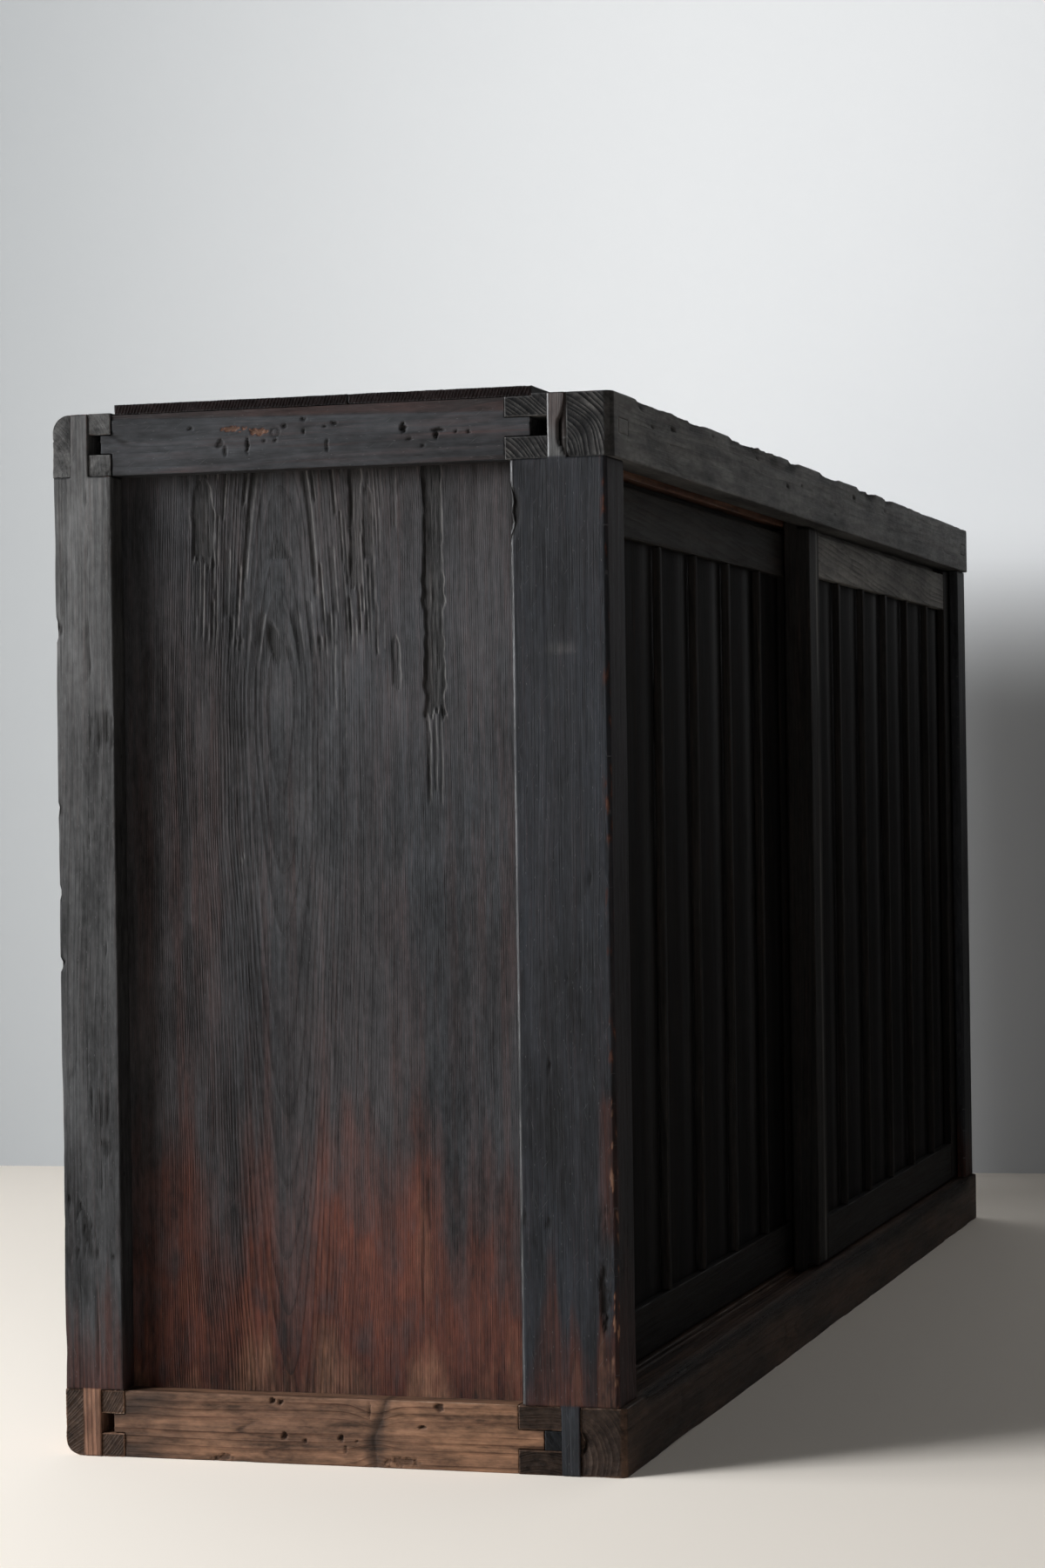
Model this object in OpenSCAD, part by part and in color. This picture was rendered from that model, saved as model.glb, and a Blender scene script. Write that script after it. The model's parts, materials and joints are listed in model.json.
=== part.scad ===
// Low sliding-door storage chest, a Japanese floor tansu.
// Millimetres, +Z up, origin on the floor under the middle of the chest.
// +X runs along the length to the right as seen from the doors, and the doors face -Y.
// Sizes along the depth are measured back from the front face of the front rails.

/* [Frame] */
// Length over the corner posts
chest_l = 1818; // [1600:2:2000]
// Depth over the front and back rails
chest_d = 507; // [470:1:560]
// Height to the top of the corner joints
frame_h = 909; // [840:1:960]
// Height of the four top rails
head_h = 55; // [50:1:62]
// Height of the four bottom rails
sill_h = 58; // [54:1:64]
// Depth of the two back rails
back_rail_d = 55; // [52:0.5:60]
// How far the rail ends stop short of the posts' outer faces
rail_end_inset = 1.5; // [0.5:0.5:2]
// Thickness of the side rails
side_rail_t = 42; // [40:1:44]
// How far the side rails lie behind the posts' outer faces
side_rail_set = 3; // [2:0.5:4]
// Worn bevel on the front arris of the top rail's ends
head_bevel = 7; // [3:1:9]
// Worn bevel on the front arris of the bottom rail's ends
sill_bevel = 5; // [3:1:9]

/* [Posts] */
// Width of each post along the chest
post_w = 58; // [56:1:62]
// How far the front posts lie behind the rails' front face
front_post_set = 5; // [3:0.5:7]
// How far the front rails run on behind the front posts
front_post_back_set = 4; // [2:0.5:5]
// How far the back posts lie inside the rails' back face
back_post_set = 1.5; // [1:0.5:3]
// Bevel on the posts' front arrises
post_bevel = 3; // [1:0.5:4]
// Thickness of the tenon that each post sends through the rails
post_tenon_t = 16; // [13:0.5:17]
// Solid wood in front of the tenon in the front rails
front_cheek = 40; // [37:0.5:42]
// Solid wood behind the tenon in the back rails
back_cheek = 17.5; // [15:0.5:19]
// Wood left between a post's tenon and the groove that a door shuts into
tenon_land = 4; // [3:0.5:6]
// Depth of the groove in a post that a shut door enters
check_depth = 10; // [6:0.5:12]

/* [Corner joints] */
// Thickness of the side rails' tenons
side_tenon_t = 16; // [12:0.5:18]
// Clearance above and below a side rail's tenon in its slot
side_tenon_clear = 0.5; // [0.2:0.1:1]
// Length of a side rail's front tenon
front_tenon_l = 22.5; // [18:0.5:26]
// Length of a side rail's back tenon
back_tenon_l = 10.5; // [8:0.5:14]
// Width of the flat pegs that lock the top corners
peg_w = 31; // [24:1:34]
// Height of the flat pegs
peg_h = 13; // [10:0.5:15]
// Middle of a peg from the post's outer face
peg_from_end = 39.5; // [36:0.5:44]
// Length of the wedge block left in the bottom front joint
wedge_l = 15; // [12:0.5:15]
// Depth of the wedge block into the joint
wedge_depth = 32; // [20:1:40]

/* [Sides and back] */
// Thickness of the side panels
panel_t = 14; // [10:1:16]
// How far the side panels lie behind the posts' outer faces
panel_set = 26; // [24:0.5:27]
// Depth that the side panels and the back boards enter their grooves
groove_depth = 8; // [5:0.5:10]
// Thickness of the back boards
back_board_t = 12; // [8:1:12]
// How far the back boards lie inside the rails' back face
back_board_set = 10; // [8:0.5:12]
// Number of back boards
back_boards = 5; // [4:1:6]
// Width of the middle stud behind the back boards
stud_w = 44; // [36:1:56]
// Length of the stud's tenons
stud_tenon_l = 15; // [10:1:20]
// Thickness of the stud's tenons
stud_tenon_t = 14; // [10:1:16]

/* [Top and floor] */
// Thickness of the top boards
top_board_t = 9; // [7:0.5:12]
// How far the top boards' seat lies below the top of the joints
seat_drop = 2; // [1:0.5:4]
// Front edge of the top boards, from the front rails' face
top_front_edge = 70; // [66:1:74]
// Back edge of the top boards, short of the back rail
top_back_gap = 3; // [2:0.5:6]
// Seam between the two top boards, from the front rails' face
top_seam = 233.5; // [200:0.5:280]
// Gap left between neighbouring boards
board_gap = 0.6; // [0.4:0.1:1]
// Number of bearers under the top
top_bearers = 3; // [2:1:4]
// Distance between the outer two bearers under the top
top_bearer_span = 900; // [700:10:1200]
// Width of every bearer
bearer_w = 40; // [34:1:46]
// Height of the bearers under the top
top_bearer_h = 30; // [26:1:34]
// Height of the bearers under the floor
floor_bearer_h = 36; // [30:1:38]
// Number of bearers under the floor
floor_bearers = 4; // [3:1:5]
// Gap between the side rails and the end bearers under the floor
end_bearer_gap = 5; // [3:1:12]
// Length of the bearers' tenons
bearer_tenon_l = 12; // [8:0.5:14]
// Height left out above and below a bearer's tenon
bearer_shoulder = 5; // [3:0.5:7]
// Thickness of the floor boards
floor_t = 12; // [10:1:16]

/* [Shelf] */
// Height of the shelf's top face
shelf_z = 472; // [380:1:560]
// Thickness of the shelf boards
shelf_t = 12; // [9:1:16]
// Height of the cleats and of the rails under the shelf
shelf_rail_h = 25; // [20:1:32]
// Depth of the shelf rails
shelf_rail_d = 30; // [24:1:36]
// Thickness of the shelf cleats
cleat_t = 22; // [18:1:28]

/* [Doors] */
// Thickness of a door
door_t = 28; // [27:0.5:32]
// Gap between the two doors as they pass
door_gap = 3; // [2:0.5:5]
// Overlap of the shut doors in the middle
door_overlap = 64; // [52:1:90]
// Width of the stiles
stile_w = 48; // [42:1:54]
// Height of a door's rails
rail_h = 46; // [40:1:52]
// Thickness of the tongue that runs in the tracks
tongue_t = 15; // [13:0.5:16]
// Side clearance of the tongue in its track
track_clear = 1; // [0.5:0.1:1.5]
// Width of the front rails' lip in front of the first track
front_lip = 29; // [27:0.5:32]
// Width of the front rails' wood behind the second track
back_lip = 17; // [15:0.5:20]
// Depth of the tracks in the top rail
head_track = 15; // [13:0.5:18]
// Depth of the tracks in the bottom rail
sill_track = 5; // [4:0.5:7]
// How far a door's tongue enters the top track
tongue_in_head = 10; // [8:0.5:11]
// Running gap under a door's tongue
track_floor_gap = 0.3; // [0.2:0.1:0.5]
// Gap between a door's body and the bottom rail
door_foot_gap = 3; // [2:0.5:5]
// Gap between the stiles and the top rail
horn_gap = 2; // [1:0.5:3]
// Further gap above a door's rail, between the stiles
rail_drop = 5; // [3:0.5:8]
// Gap at a door's edges in the post grooves
check_clear = 0.5; // [0.3:0.1:1]
// Gap that stops a fully opened door short of the far post
stop_gap = 1; // [0.5:0.5:3]

/* [Door boards and ribs] */
// Number of ribs on a door
ribs = 5; // [4:1:6]
// Distance between the middles of neighbouring ribs
rib_pitch = 140; // [110:1:145]
// Width of a rib
rib_w = 9; // [7:0.5:12]
// Depth of a rib in front of the boards
rib_d = 8; // [6:0.5:9]
// How far the ribs lie behind the door's face
rib_set = 1; // [0.5:0.5:2]
// Thickness of the door boards
door_board_t = 8; // [6:0.5:9]
// Depth that the door boards enter the door's frame
door_groove = 6; // [4:0.5:8]
// Length of the door rails' tenons
door_tenon_l = 30; // [24:1:36]
// Thickness of the door rails' tenons
door_tenon_t = 9; // [8:0.5:11]
// Height left out above and below a door rail's tenon
door_tenon_shoulder = 9; // [8.5:0.5:11]

/* [Hidden] */

// Length that a cutting shape runs on past the face that it cuts
over = 1;

charred = [0.17, 0.16, 0.16];
smoked = [0.26, 0.23, 0.21];
rubbed = [0.33, 0.24, 0.18];
bare_wood = [0.55, 0.36, 0.22];
door_black = [0.10, 0.095, 0.09];
slate = [0.24, 0.25, 0.26];

// Tracks along the depth
track_w = tongue_t + 2 * track_clear;
track_pitch = door_t + door_gap;
front_track = [front_lip, front_lip + track_w];
rear_track = [front_lip + track_pitch, front_lip + track_pitch + track_w];
front_rail_d = rear_track[1] + back_lip;
front_door_y = front_track[1] - track_clear - door_t;
rear_door_y = front_door_y + track_pitch;

// Levels
head_z = frame_h - head_h;
seat_z = frame_h - seat_drop;
head_joint_z = head_z + head_h / 2;
sill_joint_z = sill_h / 2;
slot_h = side_tenon_t + 2 * side_tenon_clear;

// Posts and rails along the depth
front_post_y = [front_post_set, front_rail_d - front_post_back_set];
back_rail_y = chest_d - back_rail_d;
back_post_y = [back_rail_y, chest_d - back_post_set];
front_tenon_y = [front_cheek, front_cheek + post_tenon_t];
back_tenon_y = [chest_d - back_cheek - post_tenon_t, chest_d - back_cheek];
back_board_y = [chest_d - back_board_set - back_board_t, chest_d - back_board_set];

// Sizes along the length, from the posts' outer faces
post_tenon_w = post_w - check_depth - tenon_land;
side_rail_x = [side_rail_set, side_rail_set + side_rail_t];
slot_x = side_rail_x[1] + side_tenon_clear;
panel_x = [panel_set, panel_set + panel_t];
peg_x = [peg_from_end - peg_w / 2, peg_from_end + peg_w / 2];
peg_z = [head_joint_z - peg_h / 2, head_joint_z + peg_h / 2];
opening = chest_l - 2 * post_w;

// Doors
door_w = (opening + 2 * (check_depth - check_clear) + door_overlap) / 2;
left_door_x = -opening / 2 - check_depth + check_clear;
right_door_x = -left_door_x - door_w;
door_travel = opening / 2 - stop_gap - (left_door_x + door_w);
tongue_z = [sill_h - sill_track + track_floor_gap, head_z + tongue_in_head];
stile_z = [sill_h + door_foot_gap, head_z - horn_gap];
top_rail_z = [head_z - horn_gap - rail_drop - rail_h, head_z - horn_gap - rail_drop];
bottom_rail_z = [stile_z[0], stile_z[0] + rail_h];
door_board_y = [rib_set + rib_d, rib_set + rib_d + door_board_t];
door_board_z = [bottom_rail_z[1] - door_groove, top_rail_z[0] + door_groove];
door_tenon_y = [door_board_y[1] - door_tenon_t, door_board_y[1]];

echo(door_travel = door_travel, door_w = door_w, left_door_x = left_door_x);
echo(front_rail_d = front_rail_d, front_door_y = front_door_y, rear_door_y = rear_door_y);

// The middles of a row of bearers that reaches as far on each side
function row_of(count, reach) = [for (i = [0:count - 1]) reach * (2 * i / (count - 1) - 1)];
top_bearer_x = row_of(top_bearers, top_bearer_span / 2);
floor_bearer_x = row_of(floor_bearers, chest_l / 2 - side_rail_x[1] - end_bearer_gap - bearer_w / 2);
function back_board_x(i) = (i / back_boards - 0.5) * (opening + 2 * groove_depth);
function rib_x(i) = door_w / 2 + (i - (ribs + 1) / 2) * rib_pitch;

// A squared timber given by its ranges: x from the middle, y from the front face, z from the floor
module timber(x, y, z) {
    translate([x[0], y[0] - chest_d / 2, z[0]])
        cube([x[1] - x[0], y[1] - y[0], z[1] - z[0]]);
}

// The same with x measured from the left post's outer face
module end_timber(x, y, z) {
    timber([x[0] - chest_l / 2, x[1] - chest_l / 2], y, z);
}

// Shapes drawn for the left end, turned over for the right end
module at_end(side) {
    mirror([side == "right" ? 1 : 0, 0, 0])
        children();
}

// A timber that runs between two levels, with its plan given from the left post's outer face
module end_column(plan, z) {
    translate([-chest_l / 2, -chest_d / 2, z[0]])
        linear_extrude(height = z[1] - z[0])
            polygon(plan);
}

module front_post(side) {
    y = front_post_y;
    b = post_bevel;
    check_y = (side == "right" ? front_door_y : rear_door_y);
    plan = [[b, y[0]], [post_w - b, y[0]], [post_w, y[0] + b], [post_w, y[1]], [0, y[1]], [0, y[0] + b]];
    color(smoked)
        at_end(side)
            difference() {
                union() {
                    end_column(plan, [sill_h, head_z]);
                    end_timber([0, post_tenon_w], front_tenon_y, [0, frame_h]);
                }
                end_timber(panel_x, [y[1] - groove_depth, y[1] + over], [sill_h, head_z]);
                end_timber(
                    [post_w - check_depth, post_w + over],
                    [check_y - track_clear, check_y + door_t + track_clear],
                    [sill_h, head_z]
                );
                peg_hole();
            }
}

module back_post(side) {
    y = back_post_y;
    color(smoked)
        at_end(side)
            difference() {
                union() {
                    end_timber([0, post_w], y, [sill_h, head_z]);
                    end_timber([0, post_tenon_w], back_tenon_y, [0, frame_h]);
                }
                end_timber(panel_x, [y[0] - over, y[0] + groove_depth], [sill_h, head_z]);
                end_timber([post_w - groove_depth, post_w + over], back_board_y, [sill_h, head_z]);
                peg_hole();
            }
}

// The mortise of the flat peg, through the rail's cheek and the post's tenon
module peg_hole() {
    end_timber(peg_x, [-over, front_tenon_y[1]], peg_z);
    end_timber(peg_x, [back_tenon_y[0], chest_d + over], peg_z);
}

// The open slots that a rail's ends hold: one for the post's tenon, one for the side rail's
module corner_slots(tenon_y, fork_y, joint_z, z) {
    for (side = ["left", "right"])
        at_end(side) {
            end_timber([-over, post_tenon_w], tenon_y, [z[0] - over, z[1] + over]);
            end_timber([-over, slot_x], fork_y, [joint_z - slot_h / 2, joint_z + slot_h / 2]);
        }
}

// A front rail's whole length, bevelled at the front of its ends
module front_rail_blank(bevel, z) {
    e = chest_l / 2 - rail_end_inset;
    d = front_rail_d;
    translate([0, -chest_d / 2, z[0]])
        linear_extrude(height = z[1] - z[0])
            polygon([[bevel - e, 0], [e - bevel, 0], [e, bevel], [e, d], [-e, d], [-e, bevel]]);
}

// The two tracks that the doors run in
module tracks(z) {
    reach = opening / 2 + check_depth;
    timber([-reach, reach], front_track, z);
    timber([-reach, reach], rear_track, z);
}

// The mortises of a row of bearers, given by the middles of the bearers
module bearer_mortises(middles, z, y) {
    for (x = middles)
        timber([x - bearer_w / 2, x + bearer_w / 2], y, z);
}

top_bearer_z = [seat_z - top_bearer_h, seat_z];
floor_bearer_z = [sill_h - floor_t - floor_bearer_h, sill_h - floor_t];
function tenon_levels(z) = [z[0] + bearer_shoulder, z[1] - bearer_shoulder];
front_mortise_y = [front_rail_d - bearer_tenon_l, front_rail_d + over];
back_mortise_y = [back_rail_y - over, back_rail_y + bearer_tenon_l];

module front_top_rail() {
    color(smoked)
        difference() {
            front_rail_blank(head_bevel, [head_z, frame_h]);
            corner_slots(front_tenon_y, [front_tenon_y[1] - over, front_rail_d + over], head_joint_z,
                [head_z, frame_h]);
            tracks([head_z - over, head_z + head_track]);
            timber([-chest_l / 2, chest_l / 2], [top_front_edge, front_rail_d + over],
                [seat_z, frame_h + over]);
            bearer_mortises(top_bearer_x, tenon_levels(top_bearer_z), front_mortise_y);
            at_end("left") peg_hole();
            at_end("right") peg_hole();
        }
}

module front_bottom_rail() {
    color(rubbed)
        difference() {
            front_rail_blank(sill_bevel, [0, sill_h]);
            corner_slots(front_tenon_y, [front_tenon_y[1] - over, front_rail_d + over], sill_joint_z,
                [0, sill_h]);
            tracks([sill_h - sill_track, sill_h + over]);
            bearer_mortises(floor_bearer_x, tenon_levels(floor_bearer_z), front_mortise_y);
        }
}

// A back rail with its corner slots and the groove for the back boards
module back_rail_blank(joint_z, z, groove_z) {
    e = chest_l / 2 - rail_end_inset;
    reach = opening / 2 + groove_depth;
    difference() {
        timber([-e, e], [back_rail_y, chest_d], z);
        corner_slots(back_tenon_y, [back_rail_y - over, back_tenon_y[0] + over], joint_z, z);
        timber([-reach, reach], back_board_y, groove_z);
    }
}

module back_top_rail() {
    color(smoked)
        difference() {
            back_rail_blank(head_joint_z, [head_z, frame_h], [head_z - over, head_z + groove_depth]);
            bearer_mortises(top_bearer_x, tenon_levels(top_bearer_z), back_mortise_y);
            stud_tenon([head_z - over, head_z + stud_tenon_l]);
            at_end("left") peg_hole();
            at_end("right") peg_hole();
        }
}

module back_bottom_rail() {
    color(rubbed)
        difference() {
            back_rail_blank(sill_joint_z, [0, sill_h], [sill_h - groove_depth, sill_h + over]);
            bearer_mortises(floor_bearer_x, tenon_levels(floor_bearer_z), back_mortise_y);
            stud_tenon([sill_h - stud_tenon_l, sill_h + over]);
        }
}

// A side rail between the front and back rails, its tenons in their slots
module side_rail(side, z, joint_z, groove_z) {
    tenon_z = [joint_z - side_tenon_t / 2, joint_z + side_tenon_t / 2];
    at_end(side)
        difference() {
            union() {
                end_timber(side_rail_x, [front_rail_d, back_rail_y], z);
                end_timber(side_rail_x, [front_rail_d - front_tenon_l, back_rail_y + back_tenon_l], tenon_z);
            }
            end_timber(panel_x, [front_rail_d - over, back_rail_y + over], groove_z);
        }
}

module top_side_rail(side) {
    color(smoked)
        side_rail(side, [head_z, seat_z], head_joint_z, [head_z - over, head_z + groove_depth]);
}

module bottom_side_rail(side) {
    color(rubbed)
        side_rail(side, [0, sill_h], sill_joint_z, [sill_h - groove_depth, sill_h + over]);
}

// One wide board, held in the posts along its height and in the side rails between them
module side_panel(side) {
    color(charred)
        at_end(side) {
            end_timber(panel_x, [front_post_y[1] - groove_depth, back_rail_y + groove_depth], [sill_h, head_z]);
            end_timber(panel_x, [front_rail_d, back_rail_y], [sill_h - groove_depth, head_z + groove_depth]);
        }
}

module rail_pegs() {
    color(smoked)
        for (side = ["left", "right"])
            at_end(side) {
                end_timber(peg_x, [0, front_tenon_y[1]], peg_z);
                end_timber(peg_x, [back_tenon_y[0], chest_d], peg_z);
            }
}

// The block that still fills the slot beside the side rail's tenon, at the left front foot
module joint_wedge() {
    gap = front_rail_d - front_tenon_l - front_tenon_y[1];
    length = min(wedge_l, gap);
    y = front_tenon_y[1] + (gap - length) / 2;
    color(slate)
        end_timber([side_rail_set, side_rail_set + wedge_depth], [y, y + length],
            [sill_joint_z - slot_h / 2, sill_joint_z + side_tenon_t / 2]);
}

module top_board(y) {
    e = chest_l / 2 - side_rail_set;
    color(charred)
        timber([-e, e], y, [seat_z, seat_z + top_board_t]);
}

module front_top_board() {
    top_board([top_front_edge, top_seam]);
}

module back_top_board() {
    top_board([top_seam + board_gap, back_rail_y - top_back_gap]);
}

// A bearer between the front and the back rail, with a tenon in each
module bearer(x, z) {
    width = [x - bearer_w / 2, x + bearer_w / 2];
    timber(width, [front_rail_d, back_rail_y], z);
    timber(width, [front_rail_d - bearer_tenon_l, back_rail_y + bearer_tenon_l], tenon_levels(z));
}

module top_bearer(i) {
    color(bare_wood)
        bearer(top_bearer_x[i - 1], top_bearer_z);
}

module floor_bearer(i) {
    color(bare_wood)
        bearer(floor_bearer_x[i - 1], floor_bearer_z);
}

module floor_board(y) {
    e = chest_l / 2 - side_rail_x[1];
    color(bare_wood)
        timber([-e, e], y, [sill_h - floor_t, sill_h]);
}

floor_seam = (front_rail_d + back_rail_y) / 2;

module back_board(i) {
    color(charred)
        timber([back_board_x(i - 1), back_board_x(i) - board_gap], back_board_y,
            [sill_h - groove_depth, head_z + groove_depth]);
}

// A tenon of the middle stud, and the mortise that it fills
module stud_tenon(z) {
    middle = (back_rail_y + back_board_y[0]) / 2;
    timber([-stud_w / 2, stud_w / 2], [middle - stud_tenon_t / 2, middle + stud_tenon_t / 2], z);
}

module back_middle_stud() {
    color(bare_wood) {
        timber([-stud_w / 2, stud_w / 2], [back_rail_y, back_board_y[0]], [sill_h, head_z]);
        stud_tenon([sill_h - stud_tenon_l, head_z + stud_tenon_l]);
    }
}

shelf_rail_z = [shelf_z - shelf_t - shelf_rail_h, shelf_z - shelf_t];
cleat_z = [shelf_rail_z[0] - shelf_rail_h, shelf_rail_z[0]];
shelf_end = chest_l / 2 - panel_x[1];

module shelf_cleat(side) {
    color(bare_wood)
        at_end(side)
            end_timber([panel_x[1], panel_x[1] + cleat_t], [front_post_y[1], back_rail_y], cleat_z);
}

module shelf_rail(y) {
    color(bare_wood)
        timber([-shelf_end, shelf_end], y, shelf_rail_z);
}

module shelf_board(y) {
    color(bare_wood)
        timber([-shelf_end, shelf_end], y, [shelf_z - shelf_t, shelf_z]);
}

shelf_y = [front_rail_d, back_rail_y];
shelf_seam = (shelf_y[0] + shelf_y[1]) / 2;

// Puts a door's own sizes, x from its left edge and y from its face, in its place in the chest
module hang(side) {
    x = (side == "left" ? left_door_x : right_door_x);
    y = (side == "left" ? rear_door_y : front_door_y);
    translate([x, y, 0])
        children();
}

// The mortise or the tenon between a door's rail and a stile
module door_tenon(x, z) {
    timber(x, door_tenon_y, [z[0] + door_tenon_shoulder, z[1] - door_tenon_shoulder]);
}

module door_stile(side, place) {
    x = (place == "left" ? [0, stile_w] : [door_w - stile_w, door_w]);
    reach = (place == "left" ? [stile_w - door_groove, stile_w + over]
        : [door_w - stile_w - over, door_w - stile_w + door_groove]);
    mortise = (place == "left" ? [stile_w - door_tenon_l, stile_w + over]
        : [door_w - stile_w - over, door_w - stile_w + door_tenon_l]);
    color(door_black)
        hang(side)
            difference() {
                union() {
                    timber(x, [0, door_t], stile_z);
                    timber(x, [door_t - tongue_t, door_t], tongue_z);
                }
                timber(reach, door_board_y, door_board_z);
                door_tenon(mortise, top_rail_z);
                door_tenon(mortise, bottom_rail_z);
            }
}

// A door's rail: its face, the tongue in the track and the tenons in the stiles
module door_rail(side, z, tongue) {
    inner = [stile_w, door_w - stile_w];
    color(door_black)
        hang(side)
            difference() {
                union() {
                    timber(inner, [0, door_t], z);
                    timber(inner, [door_t - tongue_t, door_t], tongue);
                    door_tenon([stile_w - door_tenon_l, door_w - stile_w + door_tenon_l], z);
                }
                timber([inner[0] - over, inner[1] + over], door_board_y, door_board_z);
            }
}

module door_top_rail(side) {
    door_rail(side, top_rail_z, [top_rail_z[0], tongue_z[1]]);
}

module door_bottom_rail(side) {
    door_rail(side, bottom_rail_z, [tongue_z[0], bottom_rail_z[1]]);
}

// The boards behind the ribs, one in each bay, meeting at the middles of the ribs
module door_boards(side) {
    edges = concat([stile_w - door_groove], [for (i = [1:ribs]) rib_x(i)], [door_w - stile_w + door_groove]);
    color(door_black)
        hang(side)
            for (i = [0:ribs])
                timber([edges[i], edges[i + 1] - (i < ribs ? board_gap : 0)], door_board_y, door_board_z);
}

module door_rib(side, i) {
    color(door_black)
        hang(side)
            timber([rib_x(i) - rib_w / 2, rib_x(i) + rib_w / 2], [rib_set, rib_set + rib_d],
                [bottom_rail_z[1], top_rail_z[0]]);
}

front_post("left");  // left_front_post
front_post("right");  // right_front_post
back_post("left");  // left_back_post
back_post("right");  // right_back_post
front_top_rail();
front_bottom_rail();
back_top_rail();
back_bottom_rail();
top_side_rail("left");  // left_top_side_rail
top_side_rail("right");  // right_top_side_rail
bottom_side_rail("left");  // left_bottom_side_rail
bottom_side_rail("right");  // right_bottom_side_rail
side_panel("left");  // left_side_panel
side_panel("right");  // right_side_panel
rail_pegs();
joint_wedge();
front_top_board();
back_top_board();
floor_board([front_rail_d, floor_seam]);  // front_floor_board
floor_board([floor_seam + board_gap, back_rail_y]);  // back_floor_board
for (i = [1:top_bearers])
    top_bearer(i);
for (i = [1:floor_bearers])
    floor_bearer(i);
for (i = [1:back_boards])
    back_board(i);
back_middle_stud();
shelf_cleat("left");  // left_shelf_cleat
shelf_cleat("right");  // right_shelf_cleat
shelf_rail([shelf_y[0], shelf_y[0] + shelf_rail_d]);  // front_shelf_rail
shelf_rail([shelf_y[1] - shelf_rail_d, shelf_y[1]]);  // back_shelf_rail
shelf_board([shelf_y[0], shelf_seam]);  // front_shelf_board
shelf_board([shelf_seam + board_gap, shelf_y[1]]);  // back_shelf_board
for (side = ["left", "right"]) {
    door_stile(side, "left");
    door_stile(side, "right");
    door_top_rail(side);
    door_bottom_rail(side);
    door_boards(side);
    for (i = [1:ribs])
        door_rib(side, i);
}
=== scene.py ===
# %% [markdown]
# # An old floor chest with two sliding doors
# The chest is a long, low store of softwood, black with smoke and worn by a century of hands, brooms and
# insects. Its measured frame comes in first and stays where it is. Everything here is in metres, with +X
# along the chest, the doors facing -Y and the floor at z = 0.

# %% Load the measured frame
import json

import bpy
import numpy as np
from mathutils import Matrix, Vector
from mathutils.bvhtree import BVHTree


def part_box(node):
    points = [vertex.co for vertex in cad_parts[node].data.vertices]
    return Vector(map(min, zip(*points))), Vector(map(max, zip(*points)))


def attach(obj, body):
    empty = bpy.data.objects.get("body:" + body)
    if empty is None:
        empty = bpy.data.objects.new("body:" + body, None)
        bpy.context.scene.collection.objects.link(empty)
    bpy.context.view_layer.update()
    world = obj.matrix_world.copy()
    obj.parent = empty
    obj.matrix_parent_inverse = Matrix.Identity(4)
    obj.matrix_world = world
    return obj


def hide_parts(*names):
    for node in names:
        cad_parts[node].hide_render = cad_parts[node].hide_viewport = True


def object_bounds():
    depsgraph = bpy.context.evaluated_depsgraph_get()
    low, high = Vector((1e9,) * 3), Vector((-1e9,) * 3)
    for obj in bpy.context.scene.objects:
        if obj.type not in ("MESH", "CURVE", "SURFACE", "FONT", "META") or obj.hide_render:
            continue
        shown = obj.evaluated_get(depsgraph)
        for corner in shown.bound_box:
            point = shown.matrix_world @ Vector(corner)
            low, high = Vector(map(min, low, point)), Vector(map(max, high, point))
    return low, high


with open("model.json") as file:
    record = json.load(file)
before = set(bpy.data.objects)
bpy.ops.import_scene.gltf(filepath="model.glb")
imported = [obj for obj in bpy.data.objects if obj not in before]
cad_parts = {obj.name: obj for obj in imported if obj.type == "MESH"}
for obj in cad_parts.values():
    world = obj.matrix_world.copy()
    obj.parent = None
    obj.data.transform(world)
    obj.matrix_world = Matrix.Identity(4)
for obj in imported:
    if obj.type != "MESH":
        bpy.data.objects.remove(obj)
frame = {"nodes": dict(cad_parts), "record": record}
cad_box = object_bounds()
nodes = frame["nodes"]
body_of_node = {n: b for b, names in frame["record"]["behaviour"]["bodies"].items() for n in names}
slot_of_node = {s["node"]: s["material_slot"] for s in frame["record"]["subparts"]}
print("chest", [round(v, 3) for v in cad_box[1] - cad_box[0]], "m,", len(nodes), "measured pieces")

# %% [markdown]
# ## Camera
# The photograph looks at the left end from low down, with the doors running away to the right. Its focal
# length, place and turn were worked out from the chest's own corners, so the camera is set from angles and
# not by eye. The camera's axes are built as a right-handed triple: right, up, and back towards the viewer.

# %% Camera
YAW, PITCH, ROLL = np.radians([16.4923, 0.0533, -0.8123])
CAMERA_PLACE = (-3.76655, -1.01767, 0.578)
LENS_MM, SENSOR_MM = 81.427, 36

scene = bpy.context.scene
scene.view_settings.view_transform = "Standard"
ahead = Vector((np.cos(YAW) * np.cos(PITCH), np.sin(YAW) * np.cos(PITCH), np.sin(PITCH)))
level = Vector((np.sin(YAW), -np.cos(YAW), 0))
upright = level.cross(ahead)
right = np.cos(ROLL) * level + np.sin(ROLL) * upright
up = np.cos(ROLL) * upright - np.sin(ROLL) * level
camera_data = bpy.data.cameras.new("camera")
camera_data.sensor_width = SENSOR_MM
camera_data.lens = LENS_MM
camera_data.clip_start = 0.1
camera = bpy.data.objects.new("camera", camera_data)
camera.matrix_world = Matrix.Translation(CAMERA_PLACE) @ Matrix((right, up, -ahead)).transposed().to_4x4()
scene.collection.objects.link(camera)
scene.camera = camera
print("camera", round(LENS_MM, 1), "mm lens,", round(Vector(CAMERA_PLACE).length, 2), "m from the chest")

# %% [markdown]
# ## Helpers for node trees
# Each finish is a net of shader nodes. A short helper makes a node, sets its values and links its inputs in
# one line, so that a material reads from top to bottom like a recipe.


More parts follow.
